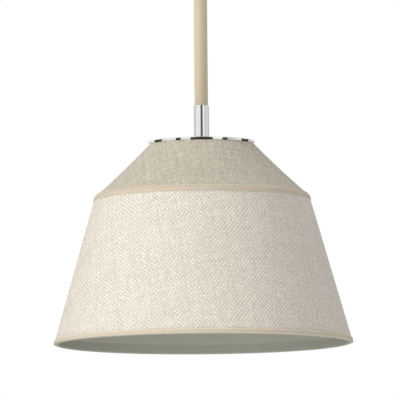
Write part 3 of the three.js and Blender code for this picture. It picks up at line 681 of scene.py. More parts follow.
def mounting_strap():
    low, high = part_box("mounting_strap")
    end = high.y
    sheet = high.z - low.z
    strap = prism("strap", stadium(low.x + end, high.x - end, end), sheet)
    slots = [stadium(33 * MM, 45.5 * MM, 2.4 * MM), stadium(-45.5 * MM, -33 * MM, 2.4 * MM)]
    round_holes = [stadium(x, x, 2.3 * MM) for x in (12 * MM, 24 * MM, -24 * MM)]
    for outline in slots + round_holes:
        combined(strap, "DIFFERENCE", moved(prism("cutter", outline, 2 * sheet), at(0, 0, -sheet / 2)))
    show(softened(moved(strap, at(0, 0, low.z)), 0.25 * MM), "mounting_strap")


def ground_screw():
    middle, _, top, bottom = standing("ground_screw")
    shank, head, flange = 2 * MM, 3.5 * MM, 4 * MM
    under_head = -2.3 * MM
    washer = under_head - 0.7 * MM
    outline = [(0, top), (1.5 * MM, top), (shank, top - 0.5 * MM), (shank, under_head), (flange, under_head),
               (flange, washer, 0.2 * MM), (head, washer), (head, bottom, 0.4 * MM), (0, bottom)]
    flats = hexagonal(head)
    screw = lathe("earth_screw", outline, 48, lambda r, z, a: flats(r, z, a) if z < washer + 1e-6 else r)
    slot = moved(block("slot", 8 * MM, 0.8 * MM, 1.4 * MM), at(0, 0, bottom))
    show(moved(combined(screw, "DIFFERENCE", slot), at(middle, 0, 0)), "ground_screw")


def canopy():
    top, bottom, wall = CANOPY_TOP, CANOPY_BOTTOM, CANOPY_WALL
    cup = lathe("spun_canopy", [
        (CANOPY_RADIUS, top, 0.35 * MM), (CANOPY_RADIUS, bottom, CANOPY_CORNER),
        (NIPPLE_HOLE, bottom, 0.3 * MM), (NIPPLE_HOLE, bottom + wall, 0.2 * MM),
        (CANOPY_RADIUS - wall, bottom + wall, CANOPY_CORNER - wall), (CANOPY_RADIUS - wall, top, 0.35 * MM),
    ], 144, steps=10)
    show(cup, "canopy")


def stud(node):
    middle, radius, top, bottom = standing(node)
    edge = 0.4 * MM
    wall = ladder(radius, top - edge, bottom + edge, STUD_PITCH / 6)
    outline = [(0, top), (radius - edge, top), *wall, (radius - edge, bottom), (0, bottom)]
    screw = lathe(node + "_threaded", outline, 24, threaded(radius, STUD_PITCH, 0.35 * MM))
    show(moved(screw, at(middle, 0, 0)), node)


def cap_nut(node):
    """A knurled skirt over a dome."""
    middle, radius, top, bottom = standing(node)
    bore, hollow, skirt = 2.3 * MM, top - 6.5 * MM, top - 3.4 * MM
    knurled = ladder(radius, top - 0.3 * MM, skirt + 0.3 * MM, 0.4 * MM)
    dome = [((radius - 0.2 * MM) * math.cos(a), skirt - (skirt - bottom) * math.sin(a))
            for a in (TAU / 4 * k / 12 for k in range(1, 12))]
    outline = [(0, hollow), (bore, hollow), (bore, top), (radius - 0.2 * MM, top), *knurled,
               (radius - 0.4 * MM, skirt), *dome, (0, bottom)]
    knurl = fluted(30, 0.3 * MM, radius - 0.1 * MM, top, skirt)
    show(moved(lathe(node + "_domed", outline, 120, knurl), at(middle, 0, 0)), node)


def pipe_nipple(node):
    radius, top, bottom = extent(node)
    edge = 0.5 * MM
    wall = ladder(radius, top - edge, bottom + edge, PIPE_PITCH / 6)
    outline = [(radius - edge, top), *wall, (radius - edge, bottom), (NIPPLE_BORE, bottom),
               (NIPPLE_BORE, top)]
    show(lathe(node + "_threaded", outline, 48, threaded(radius, PIPE_PITCH, 0.45 * MM)), node)


def nut(node):
    _, top, bottom = extent(node)
    chamfer = 0.9 * MM
    outline = [(NIPPLE_HOLE, top), (NUT_CORNER - chamfer, top), (NUT_CORNER, top - chamfer / 2),
               (NUT_CORNER, bottom + chamfer / 2), (NUT_CORNER - chamfer, bottom), (NIPPLE_HOLE, bottom)]
    turn = Matrix.Rotation(TAU / 12, 4, "Z")
    show(moved(lathe(node + "_hex", outline, 96, hexagonal(NUT_CORNER)), turn), node)


def ring(node, fillet, inside=NIPPLE_HOLE, segments=72):
    """A plain washer, collar or tube."""
    radius, top, bottom = extent(node)
    outline = [(radius, top, fillet), (radius, bottom, fillet), (inside, bottom, fillet),
               (inside, top, fillet)]
    show(lathe(node + "_turned", outline, segments, steps=3), node)


mounting_strap()
ground_screw()
canopy()
for side in ("right", "left"):
    stud("canopy_stud_" + side)
    cap_nut("canopy_cap_nut_" + side)
for node in ("canopy_nipple", "stem_nipple", "shade_nipple"):
    pipe_nipple(node)
for node in ("canopy_lock_nut", "spider_lock_nut"):
    nut(node)
ring("swivel_retaining_nut", 0.6 * MM)
ring("spider_washer", 0.2 * MM)

# ---- Swivel ----

PIVOT = -47 * MM
PIVOT_HOLE = 2.5 * MM


def ear(name, x_from, x_to, half_width, root):
    """A plate square to X, straight from root to the pivot and round about it."""
    away = 1 if root > PIVOT else -1
    arc = [(half_width * math.cos(a), PIVOT - away * half_width * math.sin(a))
           for a in (math.pi * k / 24 for k in range(25))]
    plate = prism(name, [*arc, (-half_width, root), (half_width, root)], x_to - x_from)
    upright = Matrix(((0, 0, 1, x_from), (1, 0, 0, 0), (0, 1, 0, 0), (0, 0, 0, 1)))
    return facing_out(moved(plate, upright))


def pivot_cutter(near, far):
    """A drill across one ear, turned a little about itself so that no edge meets the ear's own edges."""
    drill = rod("drill", PIVOT_HOLE, far, near)
    return moved(drill, at(0, 0, PIVOT) @ Matrix.Rotation(TAU / 4, 4, "Y") @ Matrix.Rotation(0.03, 4, "Z"))


def forked(node, plate_top, plate_bottom, ear_inside, half_width, root, round_top, round_bottom):
    """A round plate with two ears, drilled for the nipple and across for the pivot."""
    radius = extent(node)[0]
    fork = rod(node + "_forged", radius, plate_top, plate_bottom, 96)
    for near, far in ((ear_inside, radius), (-radius, -ear_inside)):
        plate = ear("ear", near, far, half_width, root)
        combined(fork, "UNION", combined(plate, "DIFFERENCE", pivot_cutter(near - MM, far + MM)))
    combined(fork, "INTERSECT", rod("limit", radius - 0.01 * MM, round_top + MM, round_bottom - MM, 96))
    combined(fork, "DIFFERENCE", rod("hole", NIPPLE_HOLE, plate_top + MM, plate_bottom - MM))
    show(softened(fork, 0.35 * MM), node)


def pivot_screw(node, sign):
    low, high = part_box(node)
    tip, head_out = (low.x, high.x) if sign > 0 else (-high.x, -low.x)
    shank, head = 2.2 * MM, 4.2 * MM
    head_in = head_out - 2.3 * MM
    screw = lathe(node + "_slotted", [
        (0, tip), (shank, tip, 0.3 * MM), (shank, head_in), (head, head_in, 0.15 * MM),
        (head, head_out, 0.8 * MM), (0, head_out),
    ], 48)
    combined(screw, "DIFFERENCE", moved(block("slot", 10 * MM, 0.9 * MM, 1.8 * MM), at(0, 0, head_out)))
    show(moved(screw, at(0, 0, PIVOT) @ Matrix.Rotation(sign * TAU / 4, 4, "Y")), node)


def swivel():
    _, yoke_top, yoke_bottom = extent("swivel_yoke")
    plate_bottom = yoke_top - 6.6 * MM
    forked("swivel_yoke", yoke_top, plate_bottom, 12.3 * MM, 7.5 * MM, plate_bottom + MM,
           yoke_top, yoke_bottom)
    _, knuckle_top, knuckle_bottom = extent("stem_knuckle")
    plate_top = knuckle_bottom + 4 * MM
    forked("stem_knuckle", plate_top, knuckle_bottom, 8.9 * MM, 6.5 * MM, plate_top - MM,
           knuckle_top, knuckle_bottom)
    pivot_screw("pivot_screw_right", 1)
    pivot_screw("pivot_screw_left", -1)


swivel()

# ---- Stem ----


def ferrule(node, floor, mouth):
    """A sleeve: a pocket for the tube's end at its mouth, and solid round the nipple at its floor."""
    radius = extent(node)[0]
    way = 1 if mouth > floor else -1
    pocket, bore = 10.6 * MM, 8.5 * MM
    ledge = mouth - way * 15 * MM
    solid_end = floor + way * 12 * MM
    outline = [(NIPPLE_HOLE, floor), (radius, floor, 0.7 * MM), (radius, mouth, 0.6 * MM),
               (pocket, mouth, 0.2 * MM), (pocket, ledge), (bore, ledge), (bore, solid_end),
               (NIPPLE_HOLE, solid_end)]
    show(lathe(node + "_turned", outline, 128), node)


def stem_sleeve():
    """Leather wrapped round the tube, its edges meeting in a butt seam at the back."""
    radius, top, bottom = extent("stem_sleeve")
    thickness = 0.5 * MM
    groove_half, groove = math.radians(4), 0.22 * MM

    def seam(r, height, angle):
        away = abs(angle - math.pi) / groove_half
        spot = Vector((9 * math.sin(angle), 9 * math.cos(angle), height / (30 * MM)))
        swell = 0.06 * MM * noise.noise(spot)
        if r < radius - 0.1 * MM:
            return r
        return r - 0.07 * MM + swell - groove * max(0.0, 1 - away) ** 0.7

    edge = 0.15 * MM
    outline = [(radius - edge, top), *ladder(radius, top - edge, bottom + edge, 4 * MM),
               (radius - edge, bottom), (radius - thickness, bottom), (radius - thickness, top)]
    sleeve = show(lathe("leather_sleeve", outline, 180, seam), "stem_sleeve")


_, upper_floor, upper_mouth = extent("upper_ferrule")
_, lower_mouth, lower_floor = extent("lower_ferrule")
ferrule("upper_ferrule", upper_floor, upper_mouth)
ferrule("lower_ferrule", lower_floor, lower_mouth)
ring("stem_tube", 0.3 * MM, inside=8.3 * MM)
stem_sleeve()

# ---- Shade ----


def side_point(side, share, offset):
    """A point on the upper (0) or lower (1) tier's side, a share of the way down, moved out by offset."""
    start, end = [(CROWN, WAIST), (WAIST, RIM)][side]
    along = (end - start).normalized()
    normal = Vector((-along.y, along.x))
    other_along = ((RIM - WAIST) if side == 0 else (WAIST - CROWN)).normalized()
    other_normal = Vector((-other_along.y, other_along.x))
    mitre = (normal + other_normal) / (1 + normal.dot(other_normal))
    start_shift, end_shift = (normal, mitre) if side == 0 else (mitre, normal)
    bow = UPPER_BOW * 4 * share * (1 - share) if side == 0 else 0.0
    shift = start_shift.lerp(end_shift, share) * offset - normal * bow
    return start.lerp(end, share) + shift


def side_length(side):
    return ((WAIST - CROWN) if side == 0 else (RIM - WAIST)).length


def sector(side):
    """(near radius, far radius, angle) of a tier's flat pattern, a part of a ring."""
    start, end = [(CROWN, WAIST), (WAIST, RIM)][side]
    sine = (end.x - start.x) / side_length(side)
    return start.x / sine, end.x / sine, TAU * sine


def seam_rise(angle, height):
    """How far the lap seam lifts what lies over it, at an angle round from the front."""
    reach = LAP / SEAM_RADIUS
    away = abs((angle % TAU) - math.pi)
    return height * (1 - min(1.0, max(0.0, (away - reach / 2) / (reach * 0.35))) ** 2)


def unevenness(angle, height, depth):
    spot = Vector((3 * math.sin(angle), 3 * math.cos(angle), height / 0.06))
    return depth * noise.noise(spot)


def lapped_panel(name, side, outside, thickness, rise_way, columns=420, rows=44, depth=0.12 * MM):
    """A tier's sheet, wound once round with its ends lapped at the back. rise_way is 1 to lap outward."""
    start_share = 0.0 if side == 0 else SETBACK / side_length(side)
    end_share = 1 - SETBACK / side_length(side) if side == 0 else 1.0
    near, far, whole = sector(side)
    middle_radius = side_point(side, 0.5, 0).x
    lap_angle = LAP / middle_radius
    first, last = -math.pi - lap_angle / 2, math.pi + lap_angle / 2
    points, faces, places = [], [], []
    for face_offset in (outside, outside - thickness):
        for i in range(columns + 1):
            angle = first + (last - first) * i / columns
            over = min(1.0, max(0.0, (angle - (last - 2.2 * lap_angle)) / (1.1 * lap_angle)))
            lift = rise_way * (thickness + 0.05 * MM) * over * over * (3 - 2 * over)
            for j in range(rows + 1):
                share = start_share + (end_share - start_share) * j / rows
                wave = unevenness(angle, share * side_length(side), depth) * math.sin(math.pi * share)
                point = side_point(side, share, face_offset + lift + wave)
                points.append((point.x * math.sin(angle), -point.x * math.cos(angle), point.y))
    layer = (columns + 1) * (rows + 1)

    def flat_place(index):
        i, j = divmod(index % layer, rows + 1)
        turn = (first + (last - first) * i / columns) / TAU * whole + GRAIN
        reach = near + (far - near) * (start_share + (end_share - start_share) * j / rows)
        return (reach * math.sin(turn), -reach * math.cos(turn))

    def corner(i, j, inner):
        return inner * layer + i * (rows + 1) + j

    for i in range(columns):
        for j in range(rows):
            for inner in (0, 1):
                faces.append([corner(i, j, inner), corner(i + 1, j, inner), corner(i + 1, j + 1, inner),
                              corner(i, j + 1, inner)])
        for j in (0, rows):
            faces.append([corner(i, j, 0), corner(i + 1, j, 0), corner(i + 1, j, 1), corner(i, j, 1)])
    for j in range(rows):
        for i in (0, columns):
            faces.append([corner(i, j, 0), corner(i, j + 1, 0), corner(i, j + 1, 1), corner(i, j, 1)])
    places = [[flat_place(index) for index in face] for face in faces]
    return facing_out(mesh_object(name, points, faces, places), 50)


def tape_ring(name, path, thickness=TAPE, lift=CLOTH + 0.05 * MM):
    """A strip run once round the shade, lifted where it crosses the lap seams."""

    def over_seam(radius, height, angle):
        wave = 0.1 * MM * noise.noise(Vector((22 * math.sin(angle), 22 * math.cos(angle), height / (4 * MM))))
        return radius + seam_rise(angle, lift) + wave
    return lathe(name, band(path, thickness), 480, over_seam)


def on_side(side, run, offset):
    """A point a distance down a tier's side, or back up from its end when negative."""
    share = run / side_length(side)
    return side_point(side, share if run >= 0 else 1 + share, offset)


def folded_edge(side, edge, inward):
    """The path's points from the edge of a tape to where its turned-in hem ends."""
    steps = [(0.0, 0.0), (0.3, 0.7), (0.7, 1.0), (1.3, 1.0), (1.9, 0.3), (2.4, 0.0)]
    return [on_side(side, edge + inward * run * MM, TAPE_OFFSET + FOLD_RISE * rise) for run, rise in steps]


def waist_tape():
    half = WAIST_TAPE_WIDTH / 2
    turn = [(*on_side(0, -2.6 * MM, TAPE_OFFSET),), (*side_point(0, 1, TAPE_OFFSET), 1.6 * MM),
            (*on_side(1, 2.6 * MM, TAPE_OFFSET),)]
    path = folded_edge(0, -half, 1) + rounded(turn, 6, closed=False) + folded_edge(1, half, -1)[::-1]
    tape = show(tape_ring("bias_tape_waist", path), "waist_tape")
    return tape


def past_rim(offset, drop):
    """A point moved out from the cloth's outer face and down past its edge at the rim."""
    return side_point(1, 1 + drop / side_length(1), offset)


def rim_tape():
    """Down over the cloth's edge and turned under it."""
    under = TAPE_OFFSET
    turn = [(*past_rim(TAPE_OFFSET, -1.2 * MM),), (*past_rim(TAPE_OFFSET, under), 0.8 * MM),
            (*past_rim(-0.35 * MM, under),)]
    path = folded_edge(1, -RIM_TAPE_WIDTH, 1) + rounded(turn, 6, closed=False)
    tape = show(tape_ring("bias_tape_rim", path), "rim_tape")
    return tape


def rim_binding():
    """From the liner's lower edge under the ring's wire and over it, then straight up to the liner."""
    under, inside, hem = TAPE_OFFSET, -5.9 * MM, -2.6 * MM
    corners = [(*past_rim(-1.45 * MM, under),), (*past_rim(inside, under), 2.2 * MM),
               (*past_rim(inside, -2.2 * MM), 2.5 * MM), (*past_rim(hem, -14 * MM), 8 * MM),
               (*past_rim(hem, -44 * MM),)]
    path = rounded(corners, 6, closed=False)
    binding = show(tape_ring("ring_binding", path, BINDING, -LINER - 0.05 * MM), "rim_binding")


def wire_ring(name, centre, segments=240):
    points = [centre + Vector((math.cos(TAU * k / 16), math.sin(TAU * k / 16))) * WIRE_RADIUS
              for k in range(16)]
    return lathe(name, points, segments)


def shade_spider():
    """Three flat arms from the hub plate to the crown's wire ring, welded at both ends."""
    hub_top = CAP_TOP - CAP_SHEET - 0.3 * MM
    hub_radius, hub_sheet = 15 * MM, 2.5 * MM
    arm_width, arm_sheet = 7 * MM, 2 * MM
    ring_middle = side_point(0, WIRE_RADIUS / side_length(0), WIRE_OFFSET)
    hub = lathe("wire_spider", [
        (NIPPLE_HOLE, hub_top), (hub_radius, hub_top, 0.3 * MM), (hub_radius, hub_top - hub_sheet, 0.5 * MM),
        (NIPPLE_HOLE, hub_top - hub_sheet),
    ])
    start = Vector((hub_radius - 3 * MM, 0, hub_top - hub_sheet / 2))
    end = Vector((ring_middle.x, 0, ring_middle.y))
    lean = Matrix.Rotation(-math.atan2(end.z - start.z, end.x - start.x), 4, "Y")
    for degrees in (90, 210, 330):
        arm = softened(block("arm", (end - start).length, arm_width, arm_sheet), 0.4 * MM)
        turn = Matrix.Rotation(math.radians(degrees), 4, "Z")
        combined(hub, "UNION", moved(arm, turn @ Matrix.Translation((start + end) / 2) @ lean))
    combined(hub, "UNION", wire_ring("crown_wire", ring_middle))
    show(facing_out(hub), "shade_spider")


def vent_cap():
    """A spun disc with a turned-down band, notched all round for the air."""
    radius, top, bottom = extent("vent_cap")
    notch_top = top - CAP_NOTCH_TOP
    outline = [(NIPPLE_HOLE, top), (radius - 12 * MM, top), (radius, top, 1.1 * MM), (radius, notch_top),
               (radius, bottom)]
    columns = 720
    spun = lathe("notched_cap", outline, columns, closed=False, steps=4)
    azimuths = [(a % 360, width) for centre, width in VENT_QUARTER
                for a in (centre, -centre, 180 - centre, 180 + centre)]

    def in_notch(face):
        x, y, z = face.center
        azimuth = math.degrees(math.atan2(x, -y)) % 360
        return z < notch_top and any(abs((azimuth - a + 180) % 360 - 180) < width / 2
                                     for a, width in azimuths)

    work = bmesh.new()
    work.from_mesh(spun.data)
    gone = [face for face, data in zip(work.faces, spun.data.polygons) if in_notch(data)]
    bmesh.ops.delete(work, geom=gone, context="FACES")
    work.to_mesh(spun.data)
    work.free()
    with_modifier(spun, "SOLIDIFY", thickness=CAP_SHEET, offset=-1, use_even_offset=True)
    show(facing_out(spun), "vent_cap")


def shade():
    show(wire_ring("waist_wire", side_point(0, 1, WIRE_OFFSET)), "waist_ring")
    show(wire_ring("rim_wire", side_point(1, 1 - WIRE_RADIUS / side_length(1), WIRE_OFFSET)), "rim_ring")
    tapes = [waist_tape(), rim_tape()]
    rim_binding()
    for side, tier in enumerate(("upper", "lower")):
        show(lapped_panel(tier + "_styrene", side, LINER_OUTSIDE, LINER, -1), tier + "_liner")
        cloth = show(lapped_panel(tier + "_cloth", side, 0.0, CLOTH, 1), tier + "_fabric")
    shade_spider()
    vent_cap()


shade()

# ---- Socket ----


def socket_cap():
    """A spun dome with a shallow groove round its foot."""
    radius, top, bottom = extent("socket_cap")
    wall, corner, edge = 0.9 * MM, radius - 11 * MM, 0.5 * MM
    outline = [(NIPPLE_HOLE, top, 0.3 * MM), (radius, top, corner), (radius, bottom + 3.4 * MM, edge),
               (radius - 0.4 * MM, bottom + 2.6 * MM, edge), (radius, bottom + 1.8 * MM, edge),
               (radius, bottom, 0.3 * MM), (radius - wall, bottom),
               (radius - wall, top - wall, corner - wall), (NIPPLE_HOLE, top - wall)]
    show(lathe("socket_cap_spun", outline, 96, steps=10), "socket_cap")


def socket_shell():
    """Sheet with two rolled beads."""
    radius, top, bottom = extent("socket_shell")
    wall, bead = 0.6 * MM, 0.35 * MM

    def beaded(inset):
        points = [(radius - inset, top)]
        for middle in (top - 6 * MM, bottom + 7 * MM):
            for k in range(-6, 7):
                dent = bead * (0.5 + 0.5 * math.cos(math.pi * k / 6))
                points.append((radius - inset - dent, middle - k * 0.25 * MM))
        return points + [(radius - inset, bottom)]

    outline = beaded(0) + beaded(wall)[::-1]
    show(lathe("socket_shell_beaded", outline, 96), "socket_shell")


def socket_base():
    radius, top, bottom = extent("socket_base")
    body = lathe("phenolic_base", disc(radius, top, bottom, 0.6 * MM))
    holes = [moved(rod("hole", 1.5 * MM, top + MM, bottom - MM, 32), at(x, 0, 0))
             for x in (-10 * MM, 0, 10 * MM)]
    show(facing_out(combined(body, "DIFFERENCE", *holes)), "socket_base")


def terminal_screw(node):
    middle, _, top, bottom = standing(node)
    shank, head, under_head = 1.2 * MM, 2.9 * MM, top - 1.8 * MM
    screw = lathe(node + "_slotted", [
        (0, bottom), (shank, bottom, 0.2 * MM), (shank, under_head), (head, under_head, 0.2 * MM),
        (head, top, 0.6 * MM), (0, top),
    ], 40)
    combined(screw, "DIFFERENCE", moved(block("slot", 8 * MM, 0.7 * MM, 1.4 * MM), at(0, 0, top)))
    show(moved(screw, at(middle, 0, 0)), node)


LAMP_PITCH = 3.629 * MM


def rolled_thread(mean, swing, top, bottom):
    """A thread rolled into sheet, fading out at both ends."""
    fade = LAMP_PITCH * 0.5

    def shape(radius, height, angle):
        share = min(1.0, max(0.0, (top - height) / fade), max(0.0, (height - bottom) / fade))
        wave = math.cos(TAU * (height / LAMP_PITCH - angle / TAU))
        return radius + swing * wave * share if abs(radius - mean) < MM else radius
    return shape


def socket_screw_shell():
    radius, top, bottom = extent("socket_screw_shell")
    hole, mean, wall = 8 * MM, radius - 0.35 * MM, 0.4 * MM
    outside = ladder(mean + wall / 2, top - MM, bottom, 0.4 * MM)
    inside = ladder(mean - wall / 2, bottom, top - MM, 0.4 * MM)
    outline = [(hole, top), (mean + wall / 2, top, 0.5 * MM), *outside, *inside, (hole, top - wall)]
    shape = rolled_thread(mean, 0.22 * MM, top - 1.2 * MM, bottom + 0.4 * MM)
    show(lathe("socket_thread", outline, 96, shape), "socket_screw_shell")


def socket_contact():
    radius, top, bottom = extent("socket_contact")
    sheet = 0.8 * MM
    tongue = 1.2 * MM
    outline = [(0, top, 0.2 * MM), (tongue, top, 0.2 * MM), (tongue, bottom + sheet),
               (radius, bottom + sheet, 0.3 * MM), (radius, bottom, 0.3 * MM), (0, bottom)]
    show(lathe("centre_contact", outline, 48), "socket_contact")


def socket():
    socket_cap()
    socket_shell()
    ring("socket_insulating_sleeve", 0.15 * MM, inside=extent("socket_insulating_sleeve")[0] - 0.6 * MM)
    socket_base()
    terminal_screw("terminal_screw_hot")
    terminal_screw("terminal_screw_neutral")
    socket_screw_shell()
    socket_contact()


socket()

# ---- Bulb ----


def bulb_tip():
    radius, top, bottom = extent("bulb_tip_contact")
    dome = [(radius * 0.95 * math.cos(a), bottom + 0.5 * MM + (top - bottom - 0.5 * MM) * math.sin(a))
            for a in (TAU / 4 * k / 8 for k in range(1, 8))]
    outline = [(0, bottom), (radius, bottom), (radius, bottom + 0.5 * MM), *dome, (0, top)]
    show(lathe("solder_tip", outline, 64), "bulb_tip_contact")


def bulb_insulator():
    radius, top, bottom = extent("bulb_insulator")
    outline = [(0, top), (5 * MM, top, 0.4 * MM), (radius, bottom + 0.8 * MM, 0.5 * MM), (radius, bottom),
               (0, bottom)]
    show(lathe("glass_insulator", outline, 72), "bulb_insulator")


def bulb_screw_shell():
    radius, top, bottom = extent("bulb_screw_shell")
    root = radius - 0.9 * MM
    mean = (radius + root) / 2
    inner = root - 0.8 * MM
    collar = bottom + 1.5 * MM
    edge = 0.2 * MM
    wall = ladder(mean, top - 0.5 * MM, collar + 0.6 * MM, 0.3 * MM)
    outline = [(inner, top), (root - edge, top, edge), *wall, (radius, collar, edge), (radius, bottom, edge),
               (inner, bottom)]
    shape = rolled_thread(mean, radius - mean, top + 0.5 * MM, collar + 0.2 * MM)
    shell = lathe("lamp_thread", outline, 96, lambda r, z, a: shape(r, z, a) if abs(r - mean) < 1e-6 else r)
    show(shell, "bulb_screw_shell")


def bulb_housing():
    _, top, bottom = extent("bulb_housing")
    neck, mouth, wall = 13.8 * MM, 25.9 * MM, 1.3 * MM
    floor = top - 3 * MM
    shares = [k / 24 for k in range(25)]

    def radius(share):
        return neck + (mouth - neck) * share * share * (3 - 2 * share)
    outside = [(radius(s), top + (bottom - top) * s) for s in shares]
    inside = [(radius(s) - wall, floor + (bottom - floor) * s) for s in reversed(shares)]
    show(lathe("bulb_body", [(0, top), *outside, *inside, (0, floor)], 128), "bulb_housing")


def bulb_globe():
    radius, top, bottom = extent("bulb_globe")
    centre, wall = bottom + radius, MM

    def bowl(r):
        first = math.asin((top - centre) / r)
        return [(r * math.cos(a), centre + r * math.sin(a))
                for a in (first + (-TAU / 4 - first) * k / 32 for k in range(32))]
    outline = [*bowl(radius), (0, bottom), (0, bottom + wall), *bowl(radius - wall)[::-1]]
    show(lathe("opal_bowl", outline, 128), "bulb_globe")


def bulb():
    bulb_tip()
    bulb_insulator()
    bulb_screw_shell()
    bulb_housing()
    radius, top, bottom = extent("bulb_led_board")
    board = lathe("led_board", disc(radius, top, bottom, 0.2 * MM), 72)
    chips = [moved(softened(block("chip", 2.8 * MM, 2.8 * MM, 0.9 * MM), 0.15 * MM),
                   Matrix.Rotation(TAU * k / 9, 4, "Z") @ at(15 * MM, 0, bottom)) for k in range(9)]
    show(combined(board, "UNION", *chips), "bulb_led_board")
    bulb_globe()


bulb()

# ---- Wiring ----

LEAD_RADIUS = 1.2 * MM
STEM_LEAD = [(1.7, 0, -48), (1.7, 0, -215), (1.7, 0, -385), (1.7, 0, -392), (4, 0, -396), (10, 0, -400.7)]
CANOPY_LEAD = [(1.7, 0, -46), (1.7, 0, -30), (1.7, 0, -14), (3, -3, -9), (8, -10, -7.5), (14, -19, -9.5),
               (16, -26, -13), (16, -31, -13)]
GROUND_LEAD = [(17.5, 1, -4), (16, 9, -6), (13, 14, -12), (11, 12, -19), (10.5, 6, -21)]
SPLICE = Vector((16 * MM, -26 * MM, -13 * MM))


def catmull_rom(points, per_span):
    """A centripetal Catmull-Rom curve through the points."""
    ends = [2 * points[0] - points[1], *points, 2 * points[-1] - points[-2]]
    line = []
    for a, b, c, d in zip(ends, ends[1:], ends[2:], ends[3:]):
        times = [0.0]
        for p, q in ((a, b), (b, c), (c, d)):
            times.append(times[-1] + (q - p).length ** 0.5)

        def blend(p, q, start, end, t):
            return p.lerp(q, (t - start) / (end - start))
        for k in range(per_span):
            t = times[1] + (times[2] - times[1]) * k / per_span
            ab, bc, cd = (blend(a, b, times[0], times[1], t), blend(b, c, times[1], times[2], t),
                          blend(c, d, times[2], times[3], t))
            abc, bcd = blend(ab, bc, times[0], times[2], t), blend(bc, cd, times[1], times[3], t)
            line.append(blend(abc, bcd, times[1], times[2], t))
    return line + [points[-1]]


def lead(node, route, sign=1, per_span=10):
    line = catmull_rom([Vector((sign * x, y, z)) * MM for x, y, z in route], per_span)
    curve = bpy.data.curves.new("route", "CURVE")
    curve.dimensions = "3D"
    curve.bevel_depth, curve.bevel_resolution, curve.use_fill_caps = LEAD_RADIUS, 4, True
    spline = curve.splines.new("POLY")
    spline.points.add(len(line) - 1)
    for point, place in zip(spline.points, line):
        point.co = (*place, 1.0)
    drawn = link(bpy.data.objects.new("route", curve))
    mesh = bpy.data.meshes.new_from_object(drawn.evaluated_get(bpy.context.evaluated_depsgraph_get()))
    bpy.data.objects.remove(drawn)
    mesh.shade_smooth()
    show(facing_out(link(bpy.data.objects.new(node + "_wire", mesh)), 60), node)


def wire_nut(node, sign):
    length, skirt, mouth, bore, depth = 18 * MM, 3 * MM, 5.6 * MM, 2.6 * MM, 9 * MM
    side = [(mouth + (4 * MM - mouth) * k / 10, skirt + (length - 1.5 * MM - skirt) * k / 10)
            for k in range(11)]
    outline = [(bore, 0), (mouth, 0, 0.3 * MM), *side, (3 * MM, length, 0.8 * MM), (0, length), (0, depth),
               (bore, depth)]
    ribs = fluted(12, 0.7 * MM, 3.5 * MM, length, skirt + 0.5 * MM)
    cone = lathe(node + "_ribbed", outline, 96, ribs)
    turn = Matrix.Rotation(TAU / 4, 4, "X")
    show(moved(cone, at(sign * SPLICE.x, SPLICE.y, SPLICE.z) @ turn), node)


for sign, core in ((1, "hot"), (-1, "neutral")):
    lead("stem_lead_" + core, STEM_LEAD, sign)
    lead("canopy_lead_" + core, CANOPY_LEAD, sign)
    wire_nut("wire_nut_" + core, sign)
lead("ground_lead", GROUND_LEAD)

# ---- Studio ----

FLOOR = -2.6
# What polished metal mirrors, as (degrees round from the camera's side, brightness).
MIRRORED = [
    (-180, 0.75), (-140, 0.95), (-118, 0.6), (-104, 0.6), (-90, 0.85), (-76, 0.97), (-16, 0.95), (-9, 0.1),
    (14, 0.1), (21, 0.85), (36, 1.0), (44, 1.0), (53, 0.62), (64, 0.62), (78, 0.76), (94, 0.92), (108, 0.62),
    (126, 0.62), (150, 0.75), (180, 0.6),
]


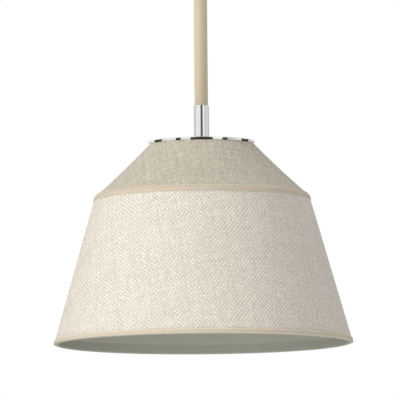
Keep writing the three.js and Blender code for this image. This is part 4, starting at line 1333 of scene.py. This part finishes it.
def add_world():
    """White to the camera, MIRRORED to polished metal, and to all else soft light, brighter at the right."""
    world = bpy.data.worlds.new("studio")
    world.use_nodes = True
    bpy.context.scene.world = world
    graph = Graph(world.node_tree)
    x, y, z = graph.parts(graph.put("TexCoord", output="Generated"))
    round_from_front = graph.math("ARCTAN2", x, y * -1.0) / TAU + 0.5
    ramp = graph.put("ValToRGB", {"Fac": round_from_front}).node
    stops = ramp.color_ramp.elements
    while len(stops) < len(MIRRORED):
        stops.new(0.5)
    for stop, (degrees, level) in zip(stops, MIRRORED):
        stop.position = degrees / 360 + 0.5
        stop.color = rgb(level, level, level)
    soft = 0.59 + x * 0.24 - y * 0.04 + z * 0.06
    path = graph.put("LightPath").node
    level = Signal(graph, ramp.outputs[0]) * path.outputs["Is Glossy Ray"]
    level = level + soft * (1.0 - Signal(graph, path.outputs["Is Glossy Ray"]))
    camera = Signal(graph, path.outputs["Is Camera Ray"])
    level = camera + level * (1.0 - camera)
    background = graph.put("Background", {"Color": graph.vector(level, level, level)})
    graph.put("OutputWorld", {"Surface": background})


def add_area_light(name, place, size, power, colour):
    """A soft square light aimed at the shade, kept out of the metal's reflections."""
    data = bpy.data.lights.new(name, "AREA")
    data.shape, data.size, data.energy, data.color = "SQUARE", size, power, colour
    light = link(bpy.data.objects.new(name, data))
    light.visible_glossy = False
    aim = (Vector((0, 0, -0.5)) - Vector(place)).to_track_quat("-Z", "Y").to_matrix().to_4x4()
    light.matrix_world = Matrix.Translation(place) @ aim


def add_floor():
    """Pale and plain, seen from above only."""
    floor = mesh_object("floor", [(x, y, FLOOR) for x, y in ((-40, -40), (40, -40), (40, 40), (-40, 40))],
                        [(0, 1, 2, 3)])
    material = bpy.data.materials.new("floor")
    material.use_nodes = True
    graph = Graph(material.node_tree)
    pale = graph.put("BsdfDiffuse", {"Color": rgb(0.72, 0.72, 0.71)})
    clear = graph.put("BsdfTransparent")
    under = graph.put("NewGeometry", output="Backfacing")
    graph.put("OutputMaterial", {"Surface": graph.put("MixShader", {0: under, 1: pale, 2: clear})})
    floor.data.materials.append(material)


add_world()
add_area_light("key", (-3.5, -1.85, 1.8), 1.8, 138, (1.0, 0.985, 0.96))
add_area_light("fill", (-0.3, -1.6, -2.3), 1.2, 27, (1.0, 1.0, 0.98))
add_floor()
bpy.context.scene.view_settings.view_transform = "Standard"

for node in frame["nodes"].values():
    if not node.hide_render:
        node.data.materials.clear()
        node.data.materials.append(LOOKS[SLOT_OF[node.name]])
